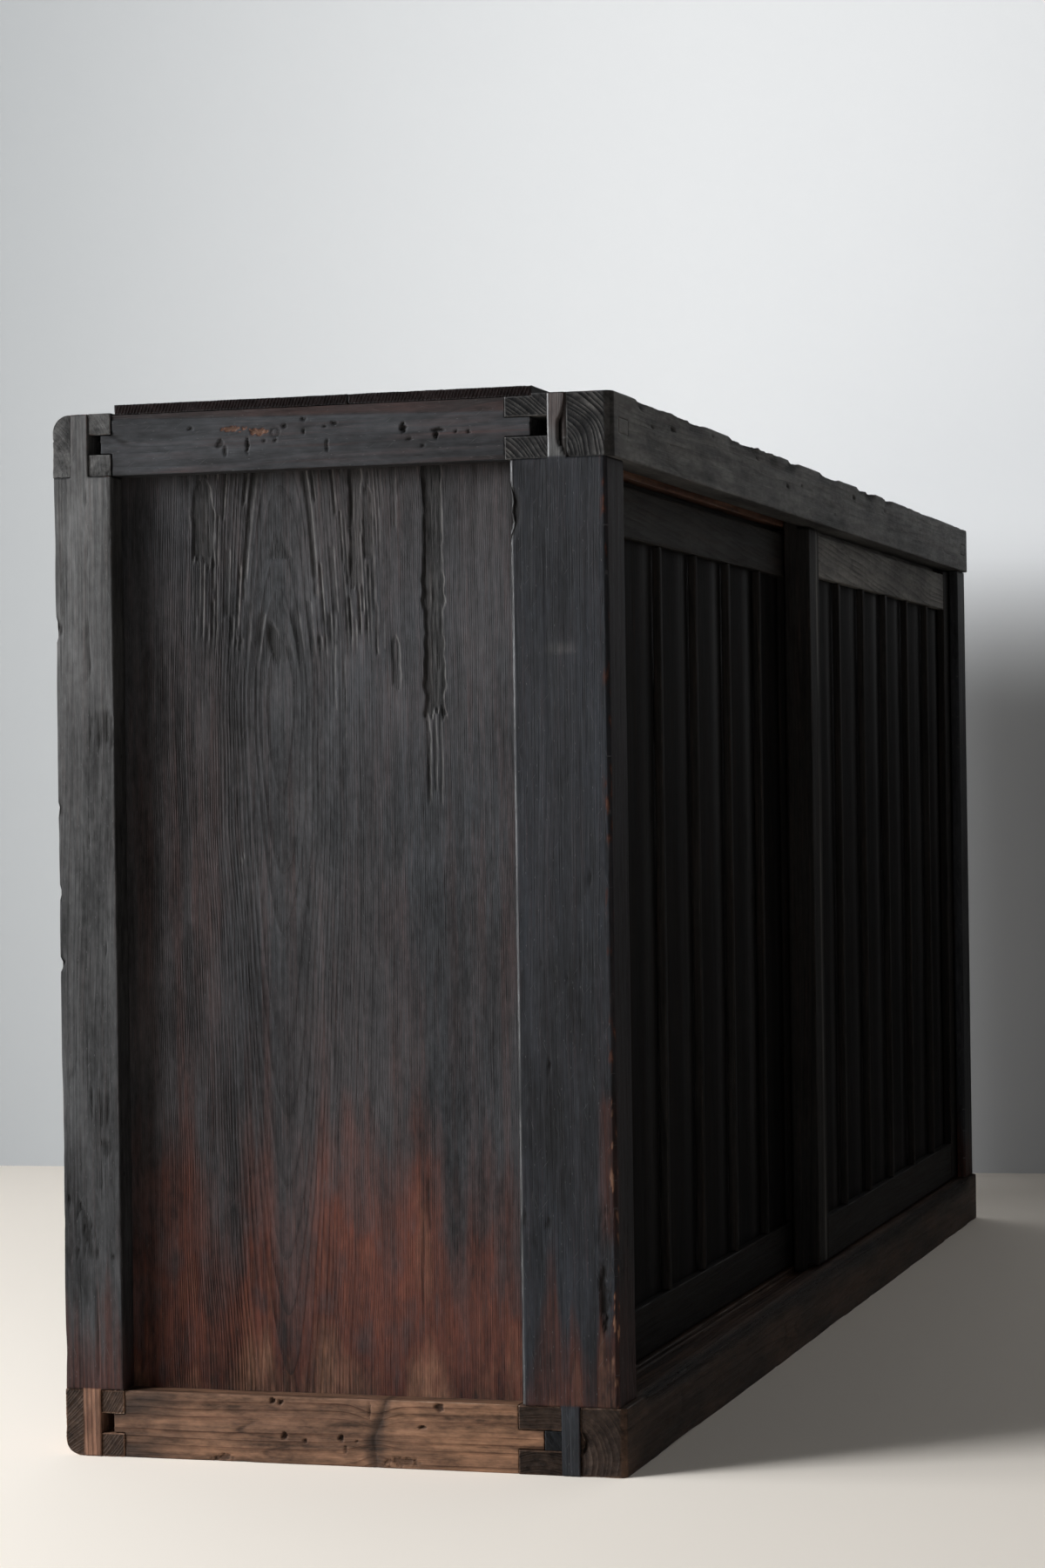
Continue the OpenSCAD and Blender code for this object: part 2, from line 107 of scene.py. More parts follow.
# %% Node helpers
def put(tree, kind, out=0, ins=None, **settings):
    """Adds a node, sets it up, links or fills its inputs, and returns one of its outputs."""
    node = tree.nodes.new("ShaderNode" + kind)
    for name, value in settings.items():
        setattr(node, name, value)
    for key, value in (ins or {}).items():
        if isinstance(value, bpy.types.NodeSocket):
            tree.links.new(value, node.inputs[key])
        else:
            node.inputs[key].default_value = value
    return node.outputs[out]


def maths(tree, operation, a, b=0.5, c=0.0):
    """One step of arithmetic between sockets and numbers."""
    return put(tree, "Math", operation=operation, ins={0: a, 1: b, 2: c})


def product(tree, a, b):
    return maths(tree, "MULTIPLY", a, b)


def between(tree, value, low, high, to_low=0.0, to_high=1.0, kind="LINEAR"):
    """Maps a value from one range to another, and stops at the ends."""
    ins = {0: value, 1: low, 2: high, 3: to_low, 4: to_high}
    return put(tree, "MapRange", interpolation_type=kind, ins=ins)


def blended(tree, share, a, b, kind="MIX"):
    """Mixes two colours by a share. A colour is a socket or three numbers."""
    a, b = [(*c, 1) if isinstance(c, tuple) else c for c in (a, b)]
    return put(tree, "Mix", 2, data_type="RGBA", blend_type=kind, ins={0: share, 6: a, 7: b})


def noise(tree, where, stretch, scale, detail, roughness=0.6):
    """Cloudy noise, stretched along the grain."""
    where = put(tree, "VectorMath", operation="MULTIPLY", ins={0: where, 1: (1, 1, stretch)})
    ins = {"Vector": where, "Scale": scale, "Detail": detail, "Roughness": roughness}
    return put(tree, "TexNoise", ins=ins)


def scattered(tree, where, spacing, dimensions="3D"):
    """A pattern with one spot in each cell, and a random share for each spot."""
    spots = tree.nodes.new("ShaderNodeTexVoronoi")
    spots.voronoi_dimensions = dimensions
    spots.inputs["Scale"].default_value = 1 / spacing
    tree.links.new(where, spots.inputs["Vector"])
    return spots.outputs, put(tree, "SeparateColor", ins={0: spots.outputs["Color"]})


def effect(name, output, **inputs):
    """Starts a node group that takes the grain and other values, and gives one value."""
    tree = bpy.data.node_groups.new(name, "ShaderNodeTree")
    for label, value in {"Grain": (0.0, 0.0, 0.0), **inputs}.items():
        kind = "NodeSocketVector" if label == "Grain" else "NodeSocketFloat"
        tree.interface.new_socket(label, in_out="INPUT", socket_type=kind).default_value = value
    tree.interface.new_socket(output, in_out="OUTPUT", socket_type="NodeSocketFloat")
    return tree, tree.nodes.new("NodeGroupInput").outputs, tree.nodes.new("NodeGroupOutput").inputs[0]


def apply_effect(tree, name, **values):
    """Places an effect in a material, with its own values."""
    node = tree.nodes.new("ShaderNodeGroup")
    node.node_tree = bpy.data.node_groups[name]
    for label, value in values.items():
        if isinstance(value, bpy.types.NodeSocket):
            tree.links.new(value, node.inputs[label])
        else:
            node.inputs[label].default_value = value
    return node.outputs[0]


print("node helpers ready")

# %% [markdown]
# ## Old softwood as shader effects
# Softwood is ringed: each year gives a wide soft band and a thin hard line. Brushing and age wear the soft
# wood away, so the hard lines stand up. The ring number at each point is written on the meshes below, so
# the same rings run over the long faces as streaks and over the ends as arcs. A wave texture is simpler,
# but the furrows that are cut into the meshes couldn't follow it. Besides the rings there are fibres,
# patches, an uneven shade, worn arrises, insect holes and scratches. Each of these is one group here, and
# every wood then uses it with its own values.

# %% Wood effects
tree, given, made = effect("growth rings", "Hard wood", Rings=0.0, Sharpness=2.0)
wave = maths(tree, "FRACT", given["Rings"])
strength = between(tree, noise(tree, given["Grain"], 0.3, 38, 4), 0.36, 0.6, 0.25, 1.0)
tree.links.new(product(tree, maths(tree, "POWER", wave, given["Sharpness"]), strength), made)

tree, given, made = effect("fibres", "Streaks")
fine = noise(tree, given["Grain"], 0.02, 900, 4)
broad = noise(tree, given["Grain"], 0.04, 160, 3)
both = maths(tree, "MULTIPLY_ADD", fine, 0.6, product(tree, broad, 0.4))
tree.links.new(between(tree, both, 0.3, 0.7), made)

tree, given, made = effect("patches", "Patches", Size=0.06)
cloud = noise(tree, given["Grain"], 0.35, maths(tree, "DIVIDE", 1.0, given["Size"]), 5)
tree.links.new(between(tree, cloud, 0.35, 0.57), made)

tree, given, made = effect("mottle", "Shade", Amount=0.3)
shade = 0.0
for size, stretch, detail in ((9, 0.4, 2), (34, 0.35, 3), (120, 0.05, 2), (260, 0.3, 3)):
    cloud = maths(tree, "SUBTRACT", noise(tree, given["Grain"], stretch, size, detail), 0.5)
    shade = maths(tree, "ADD", shade, cloud)
shade = maths(tree, "MULTIPLY_ADD", product(tree, shade, given["Amount"]), 3.0, 1.0)
tree.links.new(maths(tree, "MAXIMUM", shade, 0.25), made)

tree, given, made = effect("arris wear", "Bare", Worn=0.0, Reach=0.5)
broken = noise(tree, given["Grain"], 0.25, 240, 5, 0.65)
pushed = maths(tree, "MULTIPLY_ADD", maths(tree, "SUBTRACT", broken, 0.5), 1.6, given["Worn"])
start = maths(tree, "SUBTRACT", 1.0, given["Reach"])
tree.links.new(between(tree, pushed, start, maths(tree, "ADD", start, 0.35)), made)

HOLE_SPACING, HOLE_EDGE = 0.03, (0.0007, 0.0014)
tree, given, made = effect("insect holes", "Hole", Share=0.4)
where = put(tree, "VectorMath", operation="MULTIPLY", ins={0: given["Grain"], 1: (1, 1, 0.6)})
spots, chance = scattered(tree, where, HOLE_SPACING)
near = between(tree, product(tree, spots["Distance"], HOLE_SPACING), *HOLE_EDGE, 1.0, 0.0)
tree.links.new(product(tree, near, maths(tree, "LESS_THAN", chance, given["Share"])), made)

tree, given, made = effect("scratches", "Lines")
apart = tree.nodes.new("ShaderNodeSeparateXYZ")
tree.links.new(given["Grain"], apart.inputs[0])
x, y, z = apart.outputs
across = maths(tree, "ADD", x, y)
found = 0.0
for lean, spacing, half_wide, half_long in ((0.06, 0.011, 0.00016, 0.008), (-0.3, 0.016, 0.00018, 0.007),
                                            (0.7, 0.018, 0.00020, 0.005), (0.02, 0.008, 0.00035, 0.0012)):
    side = maths(tree, "MULTIPLY_ADD", z, lean, across)
    where = put(tree, "CombineXYZ", ins={0: side, 1: product(tree, z, 0.4)})
    spots, strength = scattered(tree, where, spacing, "2D")
    off = put(tree, "VectorMath", operation="SUBTRACT", ins={0: where, 1: spots["Position"]})
    off = put(tree, "VectorMath", operation="ABSOLUTE", ins={0: off})
    sizes = (1 / half_wide, 1 / (0.4 * half_long), 0)
    far = put(tree, "VectorMath", 1, operation="DOT_PRODUCT", ins={0: off, 1: sizes})
    line = product(tree, between(tree, far, 0.6, 1.2, 1.0, 0.0), strength)
    found = maths(tree, "MAXIMUM", found, line)
tree.links.new(found, made)
print("wood effects:", [g.name for g in bpy.data.node_groups])

# %% [markdown]
# ## Noise that a mesh can use
# Shader noise can't move the points of a mesh from a script, so the relief has its own small noise: random
# values at the corners of a grid, blended smoothly inside each cell. It is worked out for all the points of
# a mesh at once, and a seed makes it the same on every run.


# %% Noise for meshes
AXIS_PRIMES, SEED_PRIME = np.array([374761393, 668265263, 1274126177]), 974634777
FIRST_MIX, SECOND_MIX, LOW_BITS = 1103515245, 2246822519, 0x7FFFFFFF


def unit(values):
    """Values cut off below 0 and above 1."""
    return np.clip(values, 0, 1)


def corner_value(cell, seed):
    """A steady random number from -1 to 1 for each corner of the grid."""
    mixed = (cell * AXIS_PRIMES).sum(1) + seed * SEED_PRIME
    mixed = (mixed ^ (mixed >> 13)) * FIRST_MIX & LOW_BITS
    mixed = (mixed ^ (mixed >> 16)) * SECOND_MIX & LOW_BITS
    return mixed / (LOW_BITS // 2) - 1


def rough(points, size, seed=0):
    """Smooth noise from -1 to 1 at points in rows or in three lists. size is one cell's, or each axis's."""
    if isinstance(points, tuple):
        points = np.stack(points, 1)
    scaled = points / np.asarray(size, float)
    cell = np.floor(scaled).astype(np.int64)
    share = scaled - cell
    share = share * share * (3 - 2 * share)
    total = np.zeros(len(points))
    for corner in np.ndindex(2, 2, 2):
        weight = np.where(corner, share, 1 - share).prod(1)
        total += weight * corner_value(cell + corner, seed)
    return total


def crumbly(points, size, seed, octaves=3):
    """Noise with finer noise on it."""
    size = np.asarray(size, float)
    return sum(rough(points, size / 2**i, seed + i) * 0.5**i for i in range(octaves)) / 1.5


print("noise range", np.ptp(rough(np.random.default_rng(1).random((2000, 3)), 0.1)).round(2))

# %% [markdown]
# ## Timbers as blocks of small cells
# Every measured piece is a squared timber with tenons, slots and grooves, so it fits a grid of cells that
# are either wood or air. The faces between wood and air make a closed skin with points wherever wear needs
# them: close together across the grain and at the ends, and further apart along it. A voxel remesh would
# need the fine spacing everywhere.


# %% Cells
STEP_GROWTH, MOST_CROSSINGS = 1.4, 40
SAME_PLANE, NUDGE, PAST_SKIN = 2e-5, 5e-5, 1e-6
SKEW_WAY = Vector((0.5773, 0.5791, 0.5756)).normalized()


def spaced(start, end, fine, wide=None):
    """Positions from start to end, fine at both ends and up to wide between them."""
    wide = wide or fine
    reach, step = [0.0], fine
    while step < wide and reach[-1] + step < (end - start) / 2:
        reach.append(reach[-1] + step)
        step *= STEP_GROWTH
    reach = np.array(reach)
    count = max(1, round((end - start - 2 * reach[-1]) / wide))
    middle = np.linspace(start + reach[-1], end - reach[-1], count + 1)
    return np.unique(np.concatenate([start + reach, middle, end - reach]).round(6))


def inside(tree, point):
    """Whether a point is in the solid: a line out of it crosses the skin an odd number of times."""
    crossings = 0
    hit = tree.ray_cast(point, SKEW_WAY)[0]
    while hit is not None and crossings < MOST_CROSSINGS:
        crossings += 1
        hit = tree.ray_cast(hit + SKEW_WAY * PAST_SKIN, SKEW_WAY)[0]
    return crossings % 2 == 1


def cells_of(node, spacing, wide, along):
    """The grid lines of a measured piece on each axis, and which cells between them are wood."""
    mesh = nodes[node].data
    co = np.array([v.co for v in mesh.vertices])
    polygons = [tuple(p.vertices) for p in mesh.polygons]
    solid_tree = BVHTree.FromPolygons([v.co for v in mesh.vertices], polygons)
    planes = [np.unique(co[:, k].round(5)) for k in range(3)]
    planes = [p[np.concatenate([[True], np.diff(p) > SAME_PLANE])] for p in planes]
    middle = Vector(co.mean(0))
    blocks = np.zeros([len(p) - 1 for p in planes], bool)
    for place in np.ndindex(blocks.shape):
        point = Vector([(planes[k][i] + planes[k][i + 1]) / 2 for k, i in enumerate(place)])
        blocks[place] = inside(solid_tree, point + (middle - point).normalized() * NUDGE)
    lines, block_at = [], []
    for k, p in enumerate(planes):
        parts = [spaced(a, b, spacing[k], wide if k == along else None) for a, b in zip(p[:-1], p[1:])]
        lines.append(np.unique(np.concatenate(parts)))
        block_at.append(np.searchsorted(p, (lines[k][:-1] + lines[k][1:]) / 2) - 1)
    return lines, blocks[np.ix_(*block_at)]


def skin(lines, solid):
    """The corners and the four-sided faces between wood and air, wound to face outwards."""
    padded = np.pad(solid, 1)
    shape = [len(line) for line in lines]
    quads = []
    for axis in range(3):
        u, v = (axis + 1) % 3, (axis + 2) % 3
        turned = padded.transpose(axis, u, v)
        before, after = turned[:-1, 1:-1, 1:-1], turned[1:, 1:-1, 1:-1]
        for wood, air, order in ((before, after, (0, 1, 2, 3)), (after, before, (3, 2, 1, 0))):
            found = np.argwhere(wood & ~air)
            corners = np.zeros((len(found), 4, 3), int)
            for n, (du, dv) in enumerate(((0, 0), (1, 0), (1, 1), (0, 1))):
                corners[:, n, axis] = found[:, 0]
                corners[:, n, u] = found[:, 1] + du
                corners[:, n, v] = found[:, 2] + dv
            quads.append(np.ravel_multi_index(corners.transpose(2, 0, 1), shape)[:, order])
    used, quads = np.unique(np.concatenate(quads), return_inverse=True)
    at = np.unravel_index(used, shape)
    return np.stack([lines[k][at[k]] for k in range(3)], 1), quads.reshape(-1, 4)


demo = skin(*cells_of("rail_pegs", (0.003,) * 3, 0.01, 1))
print("the four pegs as cells:", len(demo[0]), "points,", len(demo[1]), "faces")

# %% [markdown]
# ## Wear
# A century of handling rounds an arris unevenly, where a bevel modifier would round them all alike. Easing
# moves each point towards the middle of its neighbours, which leaves flat faces alone and wears corners
# away, and how far a point moved is also the best mask for bare wood. Each further mark, such as a split, a
# gouge or a bite out of an arris, is a dent pushed in along one direction.


# %% Wear helpers
def neighbours(quads):
    pairs = np.sort(np.concatenate([quads[:, (i, (i + 1) % 4)] for i in range(4)]), 1)
    return np.unique(pairs, axis=0).T


def mean_around(values, pairs, count):
    """The mean of each point's neighbours."""
    a, b = pairs
    degree = np.bincount(a, minlength=count) + np.bincount(b, minlength=count)
    columns = [np.bincount(a, c[b], count) + np.bincount(b, c[a], count) for c in values.T]
    return np.stack(columns, 1) / degree[:, None]


def eased(co, pairs, share, times):
    for _ in range(times):
        co = co + share[:, None] * (mean_around(co, pairs, len(co)) - co)
    return co


def facing(co, quads):
    """The outward direction at each point."""
    across = np.cross(co[quads[:, 2]] - co[quads[:, 0]], co[quads[:, 3]] - co[quads[:, 1]])
    total = np.zeros(co.shape)
    for i in range(4):
        total += np.stack([np.bincount(quads[:, i], across[:, k], len(co)) for k in range(3)], 1)
    return total / np.maximum(np.linalg.norm(total, axis=1, keepdims=True), 1e-12)


def from_corner(x, y, z):
    """A place given in millimetres from the left end, the front face and the floor."""
    return np.array([x, y, z]) / 1000 + np.array([cad_box[0].x, cad_box[0].y, 0])


def in_mm(points):
    """Millimetres from the left end, the front face and the floor, the way a joiner would measure."""
    return (points - from_corner(0, 0, 0)).T * 1000


def box_mm(node):
    """The low and the high corner of a measured piece, in millimetres."""
    return in_mm(np.array([*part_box(node)])).T


def furrow(across, along, middle, half, low, high, depth, seed, ragged=4.0):
    """The depth of a furrow torn along the grain: steep sides, a ragged start, a floor of broken fibres."""
    spot = (across * 0, across, along)
    torn = ragged * rough(spot, (1, 2.5, 400), seed)
    drift = 0.8 * rough(spot, (1, 400, 22), seed + 1)
    width = half * (1 + 0.25 * rough(spot, (1, 400, 9), seed + 2)) * unit((high - along) / 8) ** 0.5
    walls = unit((width - np.abs(across - middle - drift)) / 0.9)
    ends = unit((along - low - torn) / 2.5) * (along < high)
    return depth * walls * ends * (0.68 + 0.32 * crumbly(spot, (1, 1.9, 24), seed + 3, 2))


def pits(a, b, spots, seed):
    """The depth of small uneven hollows, each given by its middle, half sizes and depth."""
    spot = (a * 0, a, b)
    uneven = 0.35 * rough(spot, (1, 3.5, 4.5), seed) + 0.35 * rough(spot, (1, 1.6, 1.9), seed + 1) + 0.12
    total = np.zeros(len(a))
    for a0, b0, half_a, half_b, deep in spots:
        off = np.hypot((a - a0) / half_a, (b - b0) / half_b) + uneven
        total = np.maximum(total, deep * unit((1 - off) * 4))
    return total


def by_grain(along, near, far):
    """Sizes for the three axes: one along the grain and one across it."""
    return np.where(np.arange(3) == along, far, near)


def checks(points, along, seed, amount):
    """Drying cracks: long thin lines where a noise stretched along the grain passes through zero."""
    line = unit(1 - np.abs(rough(points, by_grain(along, 9, 130), seed)) * 16)
    return line * unit(rough(points, by_grain(along, 26, 110), seed + 1) * 3 - 0.9 + amount)


def crack(across, along, points, depth, width=0.7):
    """A thin open line that joins some points."""
    total = np.zeros(len(across))
    for (a0, l0), (a1, l1) in zip(points[:-1], points[1:]):
        if l0 > l1:
            a0, l0, a1, l1 = a1, l1, a0, l0
        at = a0 + (a1 - a0) * (along - l0) / (l1 - l0)
        total = np.maximum(total, unit(1 - np.abs(across - at) / width) * (along >= l0) * (along <= l1))
    return depth * total


print("wear helpers ready")

# %% [markdown]
# ## One maker for every timber
# Each piece of the chest is copied from its measured cells, bevelled where the measured one is, eased and
# dented. The maker also writes nine values on the mesh for the finishes: where a point is in the plank's
# own grain, which growth ring it is in, how worn it is, how much it is an end of the grain, and how brown,
# dug, pale, smoked and glossy it is. Marks only ever cut into the wood, so the worn piece stays inside the
# measured one and the doors stay free to slide.

# %% Worn timbers
SHARES = ("rings", "worn", "end", "brown", "dug", "pale", "smoke", "gloss")
FULL_WEAR, FROM_PITH, RING_PITCH = 0.0003, 48, 3.4
piece_number = {name: n for n, name in enumerate(sorted(nodes))}


def trunk(along, pith, pitch, seed, wander=4.0):
    """A ring number for any point in mm, in a trunk whose pith wanders a little along the grain."""
    across = [k for k in range(3) if k != along]

    def count(points):
        far, off = points[:, along], []
        for n, k in enumerate(across):
            slow = wander * np.sin(far * 0.0051 + seed + 2 * n)
            off.append(points[:, k] - pith[n] - (slow + 0.35 * wander * np.sin(far * 0.017 + 2 * seed)))
        wobble = 0.45 * rough(points, by_grain(along, 20, 120), seed)
        total = np.hypot(*off) / pitch + wobble
        return total + 0.25 * np.sin(total * 1.3) + 0.15 * np.sin(total * 3.1 + 1)

    return count


def make_piece(node, co, quads, grain, **shares):
    """Makes the mesh that replaces a measured piece, with the grain and the shares written on its points."""
    mesh = bpy.data.meshes.new(node + "_worn")
    mesh.from_pydata(co, [], quads)
    mesh.shade_smooth()
    written = mesh.attributes.new("grain", "FLOAT_VECTOR", "POINT").data
    written.foreach_set("vector", np.float32(grain).ravel())
    for label in SHARES:
        values = shares.get(label, np.zeros(len(co)))
        mesh.attributes.new(label, "FLOAT", "POINT").data.foreach_set("value", np.float32(values))
    piece = bpy.data.objects.new(mesh.name, mesh)
    scene.collection.objects.link(piece)
    mesh.materials.append(woods[slot_of_node[node]])
    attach(piece, body_of_node[node])
    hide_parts(node)
    return piece


def bevelled(co, corners):
    """Bevels or rounds corners, each given by two axes with their faces, a size in mm and a shape."""
    for (a, place_a), (b, place_b), size, shape in corners:
        points = in_mm(co)
        size = size(*points) if callable(size) else size
        near = [np.abs(points[k] - place) for k, place in ((a, place_a), (b, place_b))]
        if shape == "round":
            short = [np.maximum(size - d, 0) for d in near]
            moves = [s * (1 - np.minimum(size / np.maximum(np.hypot(*short), 1e-6), 1)) for s in short]
        else:
            moves = [np.maximum(size - near[0] - near[1], 0) / 2] * 2
        for k, place, move in ((a, place_a, moves[0]), (b, place_b, moves[1])):
            co[:, k] += np.sign(points[k].mean() - place) * move / 1000
    return co


def share_of(rule, points, way):
    """A share for each point, from a number or from a rule that knows the place and the direction."""
    return rule(*points.T, way) if callable(rule) else rule + np.zeros(len(points))


def worn_timber(node, along=None, cell=2.5, wide=9.0, rounds=1, chew=0.6, relief=0.12, rings=None, marks=0.0,
                brown=0.0, pale=0.0, smoke=0.0, gloss=0.0, corners=(), cracked=0.0, end_share=1.0):
    """Makes one timber. cell is the spacing in mm, one number or one for each axis."""
    seed = piece_number[node]
    low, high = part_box(node)
    along = int(np.argmax(high - low)) if along is None else along
    lines, solid = cells_of(node, np.broadcast_to(cell, 3) / 1000, wide / 1000, along)
    co, quads = skin(lines, solid)
    pairs = neighbours(quads)
    square = bevelled(co.copy(), corners)
    soft = eased(square, pairs, 0.4 + 0.3 * rough(co, 0.05, seed), rounds)
    points = in_mm(soft).T
    way = facing(soft, quads)
    worn = unit(-((soft - square) * way).sum(1) / FULL_WEAR)
    spread = worn
    for _ in range(4):
        spread = 0.5 * spread + 0.5 * mean_around(spread[:, None], pairs, len(co))[:, 0]
    if rings is None:
        turn, middle = seed * 2.4, in_mm(np.array([(low + high) / 2]))[:, 0]
        across = [k for k in range(3) if k != along]
        pith = middle[across] + FROM_PITH * np.array([np.cos(turn), np.sin(turn)])
        rings = trunk(along, pith, RING_PITCH, seed)
    count = rings(points)
    bites = unit(crumbly(points, by_grain(along, 14, 45), seed + 50) + 0.2) ** 1.5
    fibres = 0.5 - 0.5 * crumbly(points, by_grain(along, 3, 40), seed + 90)
    end = np.abs(way[:, along]) ** 3
    open_lines = checks(points, along, seed + 30, cracked) * (1 - end)
    cut = share_of(marks, points, way)
    depth = 2.0 * chew * bites * unit(spread * 1.5) + relief * fibres * (1 - end)
    depth += 0.55 * end * (1 - (count % 1) ** 2)
    depth += 0.9 * open_lines
    depth += cut
    soft -= way * depth[:, None] / 1000
    order = [(along + 1) % 3, (along + 2) % 3, along]
    grain = (points - points.mean(0))[:, order] / 1000 + seed * np.array([0.37, 0.53, 0.71])
    end = end * end_share
    return make_piece(node, soft, quads.tolist(), grain, rings=count, worn=worn, end=end,
                      dug=np.maximum(0.7 * open_lines, unit(cut / 2.2)),
                      brown=share_of(brown, points, way), pale=share_of(pale, points, way) * (1 - end),
                      smoke=share_of(smoke, points, way), gloss=share_of(gloss, points, way))


print(len(piece_number), "pieces to make")

# %% [markdown]
# ## The finish of old wood
# One recipe makes all the woods. A smoke-dark ground gets lighter fibres and hard growth lines, a second
# tone in patches, bare wood on worn arrises, a browner foot where smoke never settled, and black insect
# holes. Each wood sets its own tones and amounts. Seven separate materials could differ more, but one
# recipe keeps them looking like one chest. Colours are written as the wood would look under a plain white
# light, and reliefs in millimetres.


# %% Old wood
woods = {}
HOLE_TONE, SCRATCH_TONE = (0.004, 0.0035, 0.003), (0.13, 0.13, 0.13)


def scaled(colour, by):
    return tuple(c * by for c in colour)


def old_wood(name, ground, fibre, patch, bare, ring_tone, ring_share=0.4, fibre_share=0.6, patch_share=0.5,
             patch_size=0.07, reach=0.15, hole_share=0.3, brown=(0.06, 0.03, 0.022), tan=(0.12, 0.075, 0.05),
             dug=(0.008, 0.007, 0.0065), pale=(0.135, 0.131, 0.124), smoke_tone=(0.012, 0.0115, 0.0115),
             rough_range=(0.5, 0.75), end_dark=(0.006, 0.0055, 0.0055), end_light=(0.04, 0.038, 0.036),
             relief=0.35, ring_relief=0.6, sharpness=2.0, shine=0.14, scratched=0.0, polish=0.0, mottled=0.3):
    material = woods[name] = bpy.data.materials.new("old_" + name)
    material.use_nodes = True
    tree = material.node_tree
    surface = tree.nodes["Principled BSDF"]
    grain = put(tree, "Attribute", 1, attribute_name="grain")
    rings, worn, end, browned, hollow, paled, smoked, gloss = [
        put(tree, "Attribute", 2, attribute_name=label) for label in SHARES]
    streaks = apply_effect(tree, "fibres", Grain=grain)
    hard = apply_effect(tree, "growth rings", Grain=grain, Rings=rings, Sharpness=sharpness)
    patches = apply_effect(tree, "patches", Grain=grain, Size=patch_size)
    bare_mask = apply_effect(tree, "arris wear", Grain=grain, Worn=worn, Reach=reach)
    holes = apply_effect(tree, "insect holes", Grain=grain, Share=hole_share)
    mottle = apply_effect(tree, "mottle", Grain=grain, Amount=mottled)
    tone = blended(tree, product(tree, streaks, fibre_share), ground, fibre)
    # The pale layer is worn grey on some pieces and painted light on others: lit furrow walls and a sheen on
    # the side panels, the back post's sides, and the ribs' and a stile's left sides.
    light = product(tree, paled, between(tree, streaks, 0, 1, 0.6, 1.1))
    tone = blended(tree, light, tone, pale)
    tone = blended(tree, product(tree, patches, patch_share), tone, patch)
    tone = blended(tree, product(tree, hard, ring_share), tone, ring_tone)
    uneven = maths(tree, "MULTIPLY_ADD", maths(tree, "SUBTRACT", streaks, 0.5), 0.5, browned)
    for start, colour in ((0.0, brown), (1.0, tan)):
        shaded = blended(tree, product(tree, hard, 0.9), colour, scaled(colour, 0.3))
        tone = blended(tree, between(tree, uneven, start, start + 1), tone, shaded)
    torn = blended(tree, streaks, scaled(dug, 0.5), scaled(dug, 1.5))
    tone = blended(tree, product(tree, hollow, 0.8), tone, torn)
    tone = blended(tree, product(tree, end, 0.9), tone, blended(tree, hard, end_dark, end_light))
    for mask, colour in ((bare_mask, bare), (smoked, smoke_tone), (holes, HOLE_TONE)):
        tone = blended(tree, mask, tone, colour)
    tone = blended(tree, 1.0, tone, mottle, "MULTIPLY")
    height = product(tree, streaks, relief)
    rises = [(hard, ring_relief), (product(tree, end, hard), 0.9), (product(tree, hollow, streaks), 1.2)]
    for mask, rise in (*rises, (holes, -0.8)):
        height = maths(tree, "MULTIPLY_ADD", mask, rise, height)
    if scratched:
        flat = maths(tree, "SUBTRACT", 1.0, maths(tree, "MAXIMUM", end, worn))
        scratches = product(tree, apply_effect(tree, "scratches", Grain=grain), flat)
        tone = blended(tree, product(tree, scratches, scratched), tone, SCRATCH_TONE)
        height = maths(tree, "MULTIPLY_ADD", scratches, -0.25, height)
    rubbed = maths(tree, "MAXIMUM", between(tree, worn, 0.7, 1.0), gloss)
    dull = between(tree, streaks, 0, 1, *rough_range)
    glint = maths(tree, "MULTIPLY_ADD", rubbed, polish, shine)
    looks = {"Base Color": tone, "Roughness": put(tree, "Mix", 0, ins={0: rubbed, 2: dull, 3: 0.33}),
             "Specular IOR Level": product(tree, glint, between(tree, end, 0, 1, 1, 0.5)),
             "Normal": put(tree, "Bump", ins={"Strength": 1.0, "Distance": 0.001, "Height": height})}
    for label, socket in looks.items():
        tree.links.new(socket, surface.inputs[label])


old_wood("frame_wood", (0.0048, 0.0060, 0.0086), (0.0165, 0.0198, 0.0250), (0.0125, 0.0108, 0.0110),
         (0.11, 0.045, 0.026), (0.005, 0.0052, 0.0058), fibre_share=0.9, patch_share=0.3, mottled=0.5,
         end_dark=(0.0016, 0.0016, 0.0016), end_light=(0.056, 0.053, 0.050), brown=(0.036, 0.0120, 0.0083),
         tan=(0.15, 0.078, 0.050), relief=0.3, ring_relief=0.35, scratched=0.45, polish=0.6)
old_wood("foot_wood", (0.145, 0.070, 0.040), (0.33, 0.185, 0.105), (0.085, 0.050, 0.036), (0.36, 0.26, 0.19),
         (0.045, 0.017, 0.011), ring_share=0.8, mottled=0.5, reach=0.3, dug=(0.03, 0.016, 0.011),
         end_dark=(0.012, 0.008, 0.006), end_light=(0.072, 0.050, 0.037), ring_relief=0.8, sharpness=5.0,
         hole_share=0.15, polish=0.3, smoke_tone=(0.016, 0.0125, 0.011))
# Its pale tone is the painted highlight on the side panels' furrow walls and round the eye.
old_wood("board_wood", (0.0120, 0.0132, 0.0155), (0.0300, 0.0325, 0.0360), (0.025, 0.0165, 0.0140),
         (0.06, 0.028, 0.017), (0.0085, 0.0060, 0.0056), fibre_share=0.75, patch_share=0.35, patch_size=0.12,
         ring_share=0.5, mottled=0.6, pale=(0.17, 0.165, 0.16), end_dark=(0.0042, 0.0022, 0.0022),
         end_light=(0.020, 0.0110, 0.0110), scratched=0.2, hole_share=0.03, brown=(0.045, 0.0130, 0.0078),
         tan=(0.088, 0.043, 0.026), dug=(0.018, 0.017, 0.016), relief=0.6, ring_relief=0.9, sharpness=3.0)
old_wood("inner_wood", (0.20, 0.11, 0.06), (0.34, 0.21, 0.13), (0.16, 0.10, 0.06), (0.36, 0.23, 0.15),
         (0.14, 0.075, 0.04), end_dark=(0.12, 0.07, 0.04), end_light=(0.30, 0.20, 0.13), hole_share=0.1,
         shine=0.3)
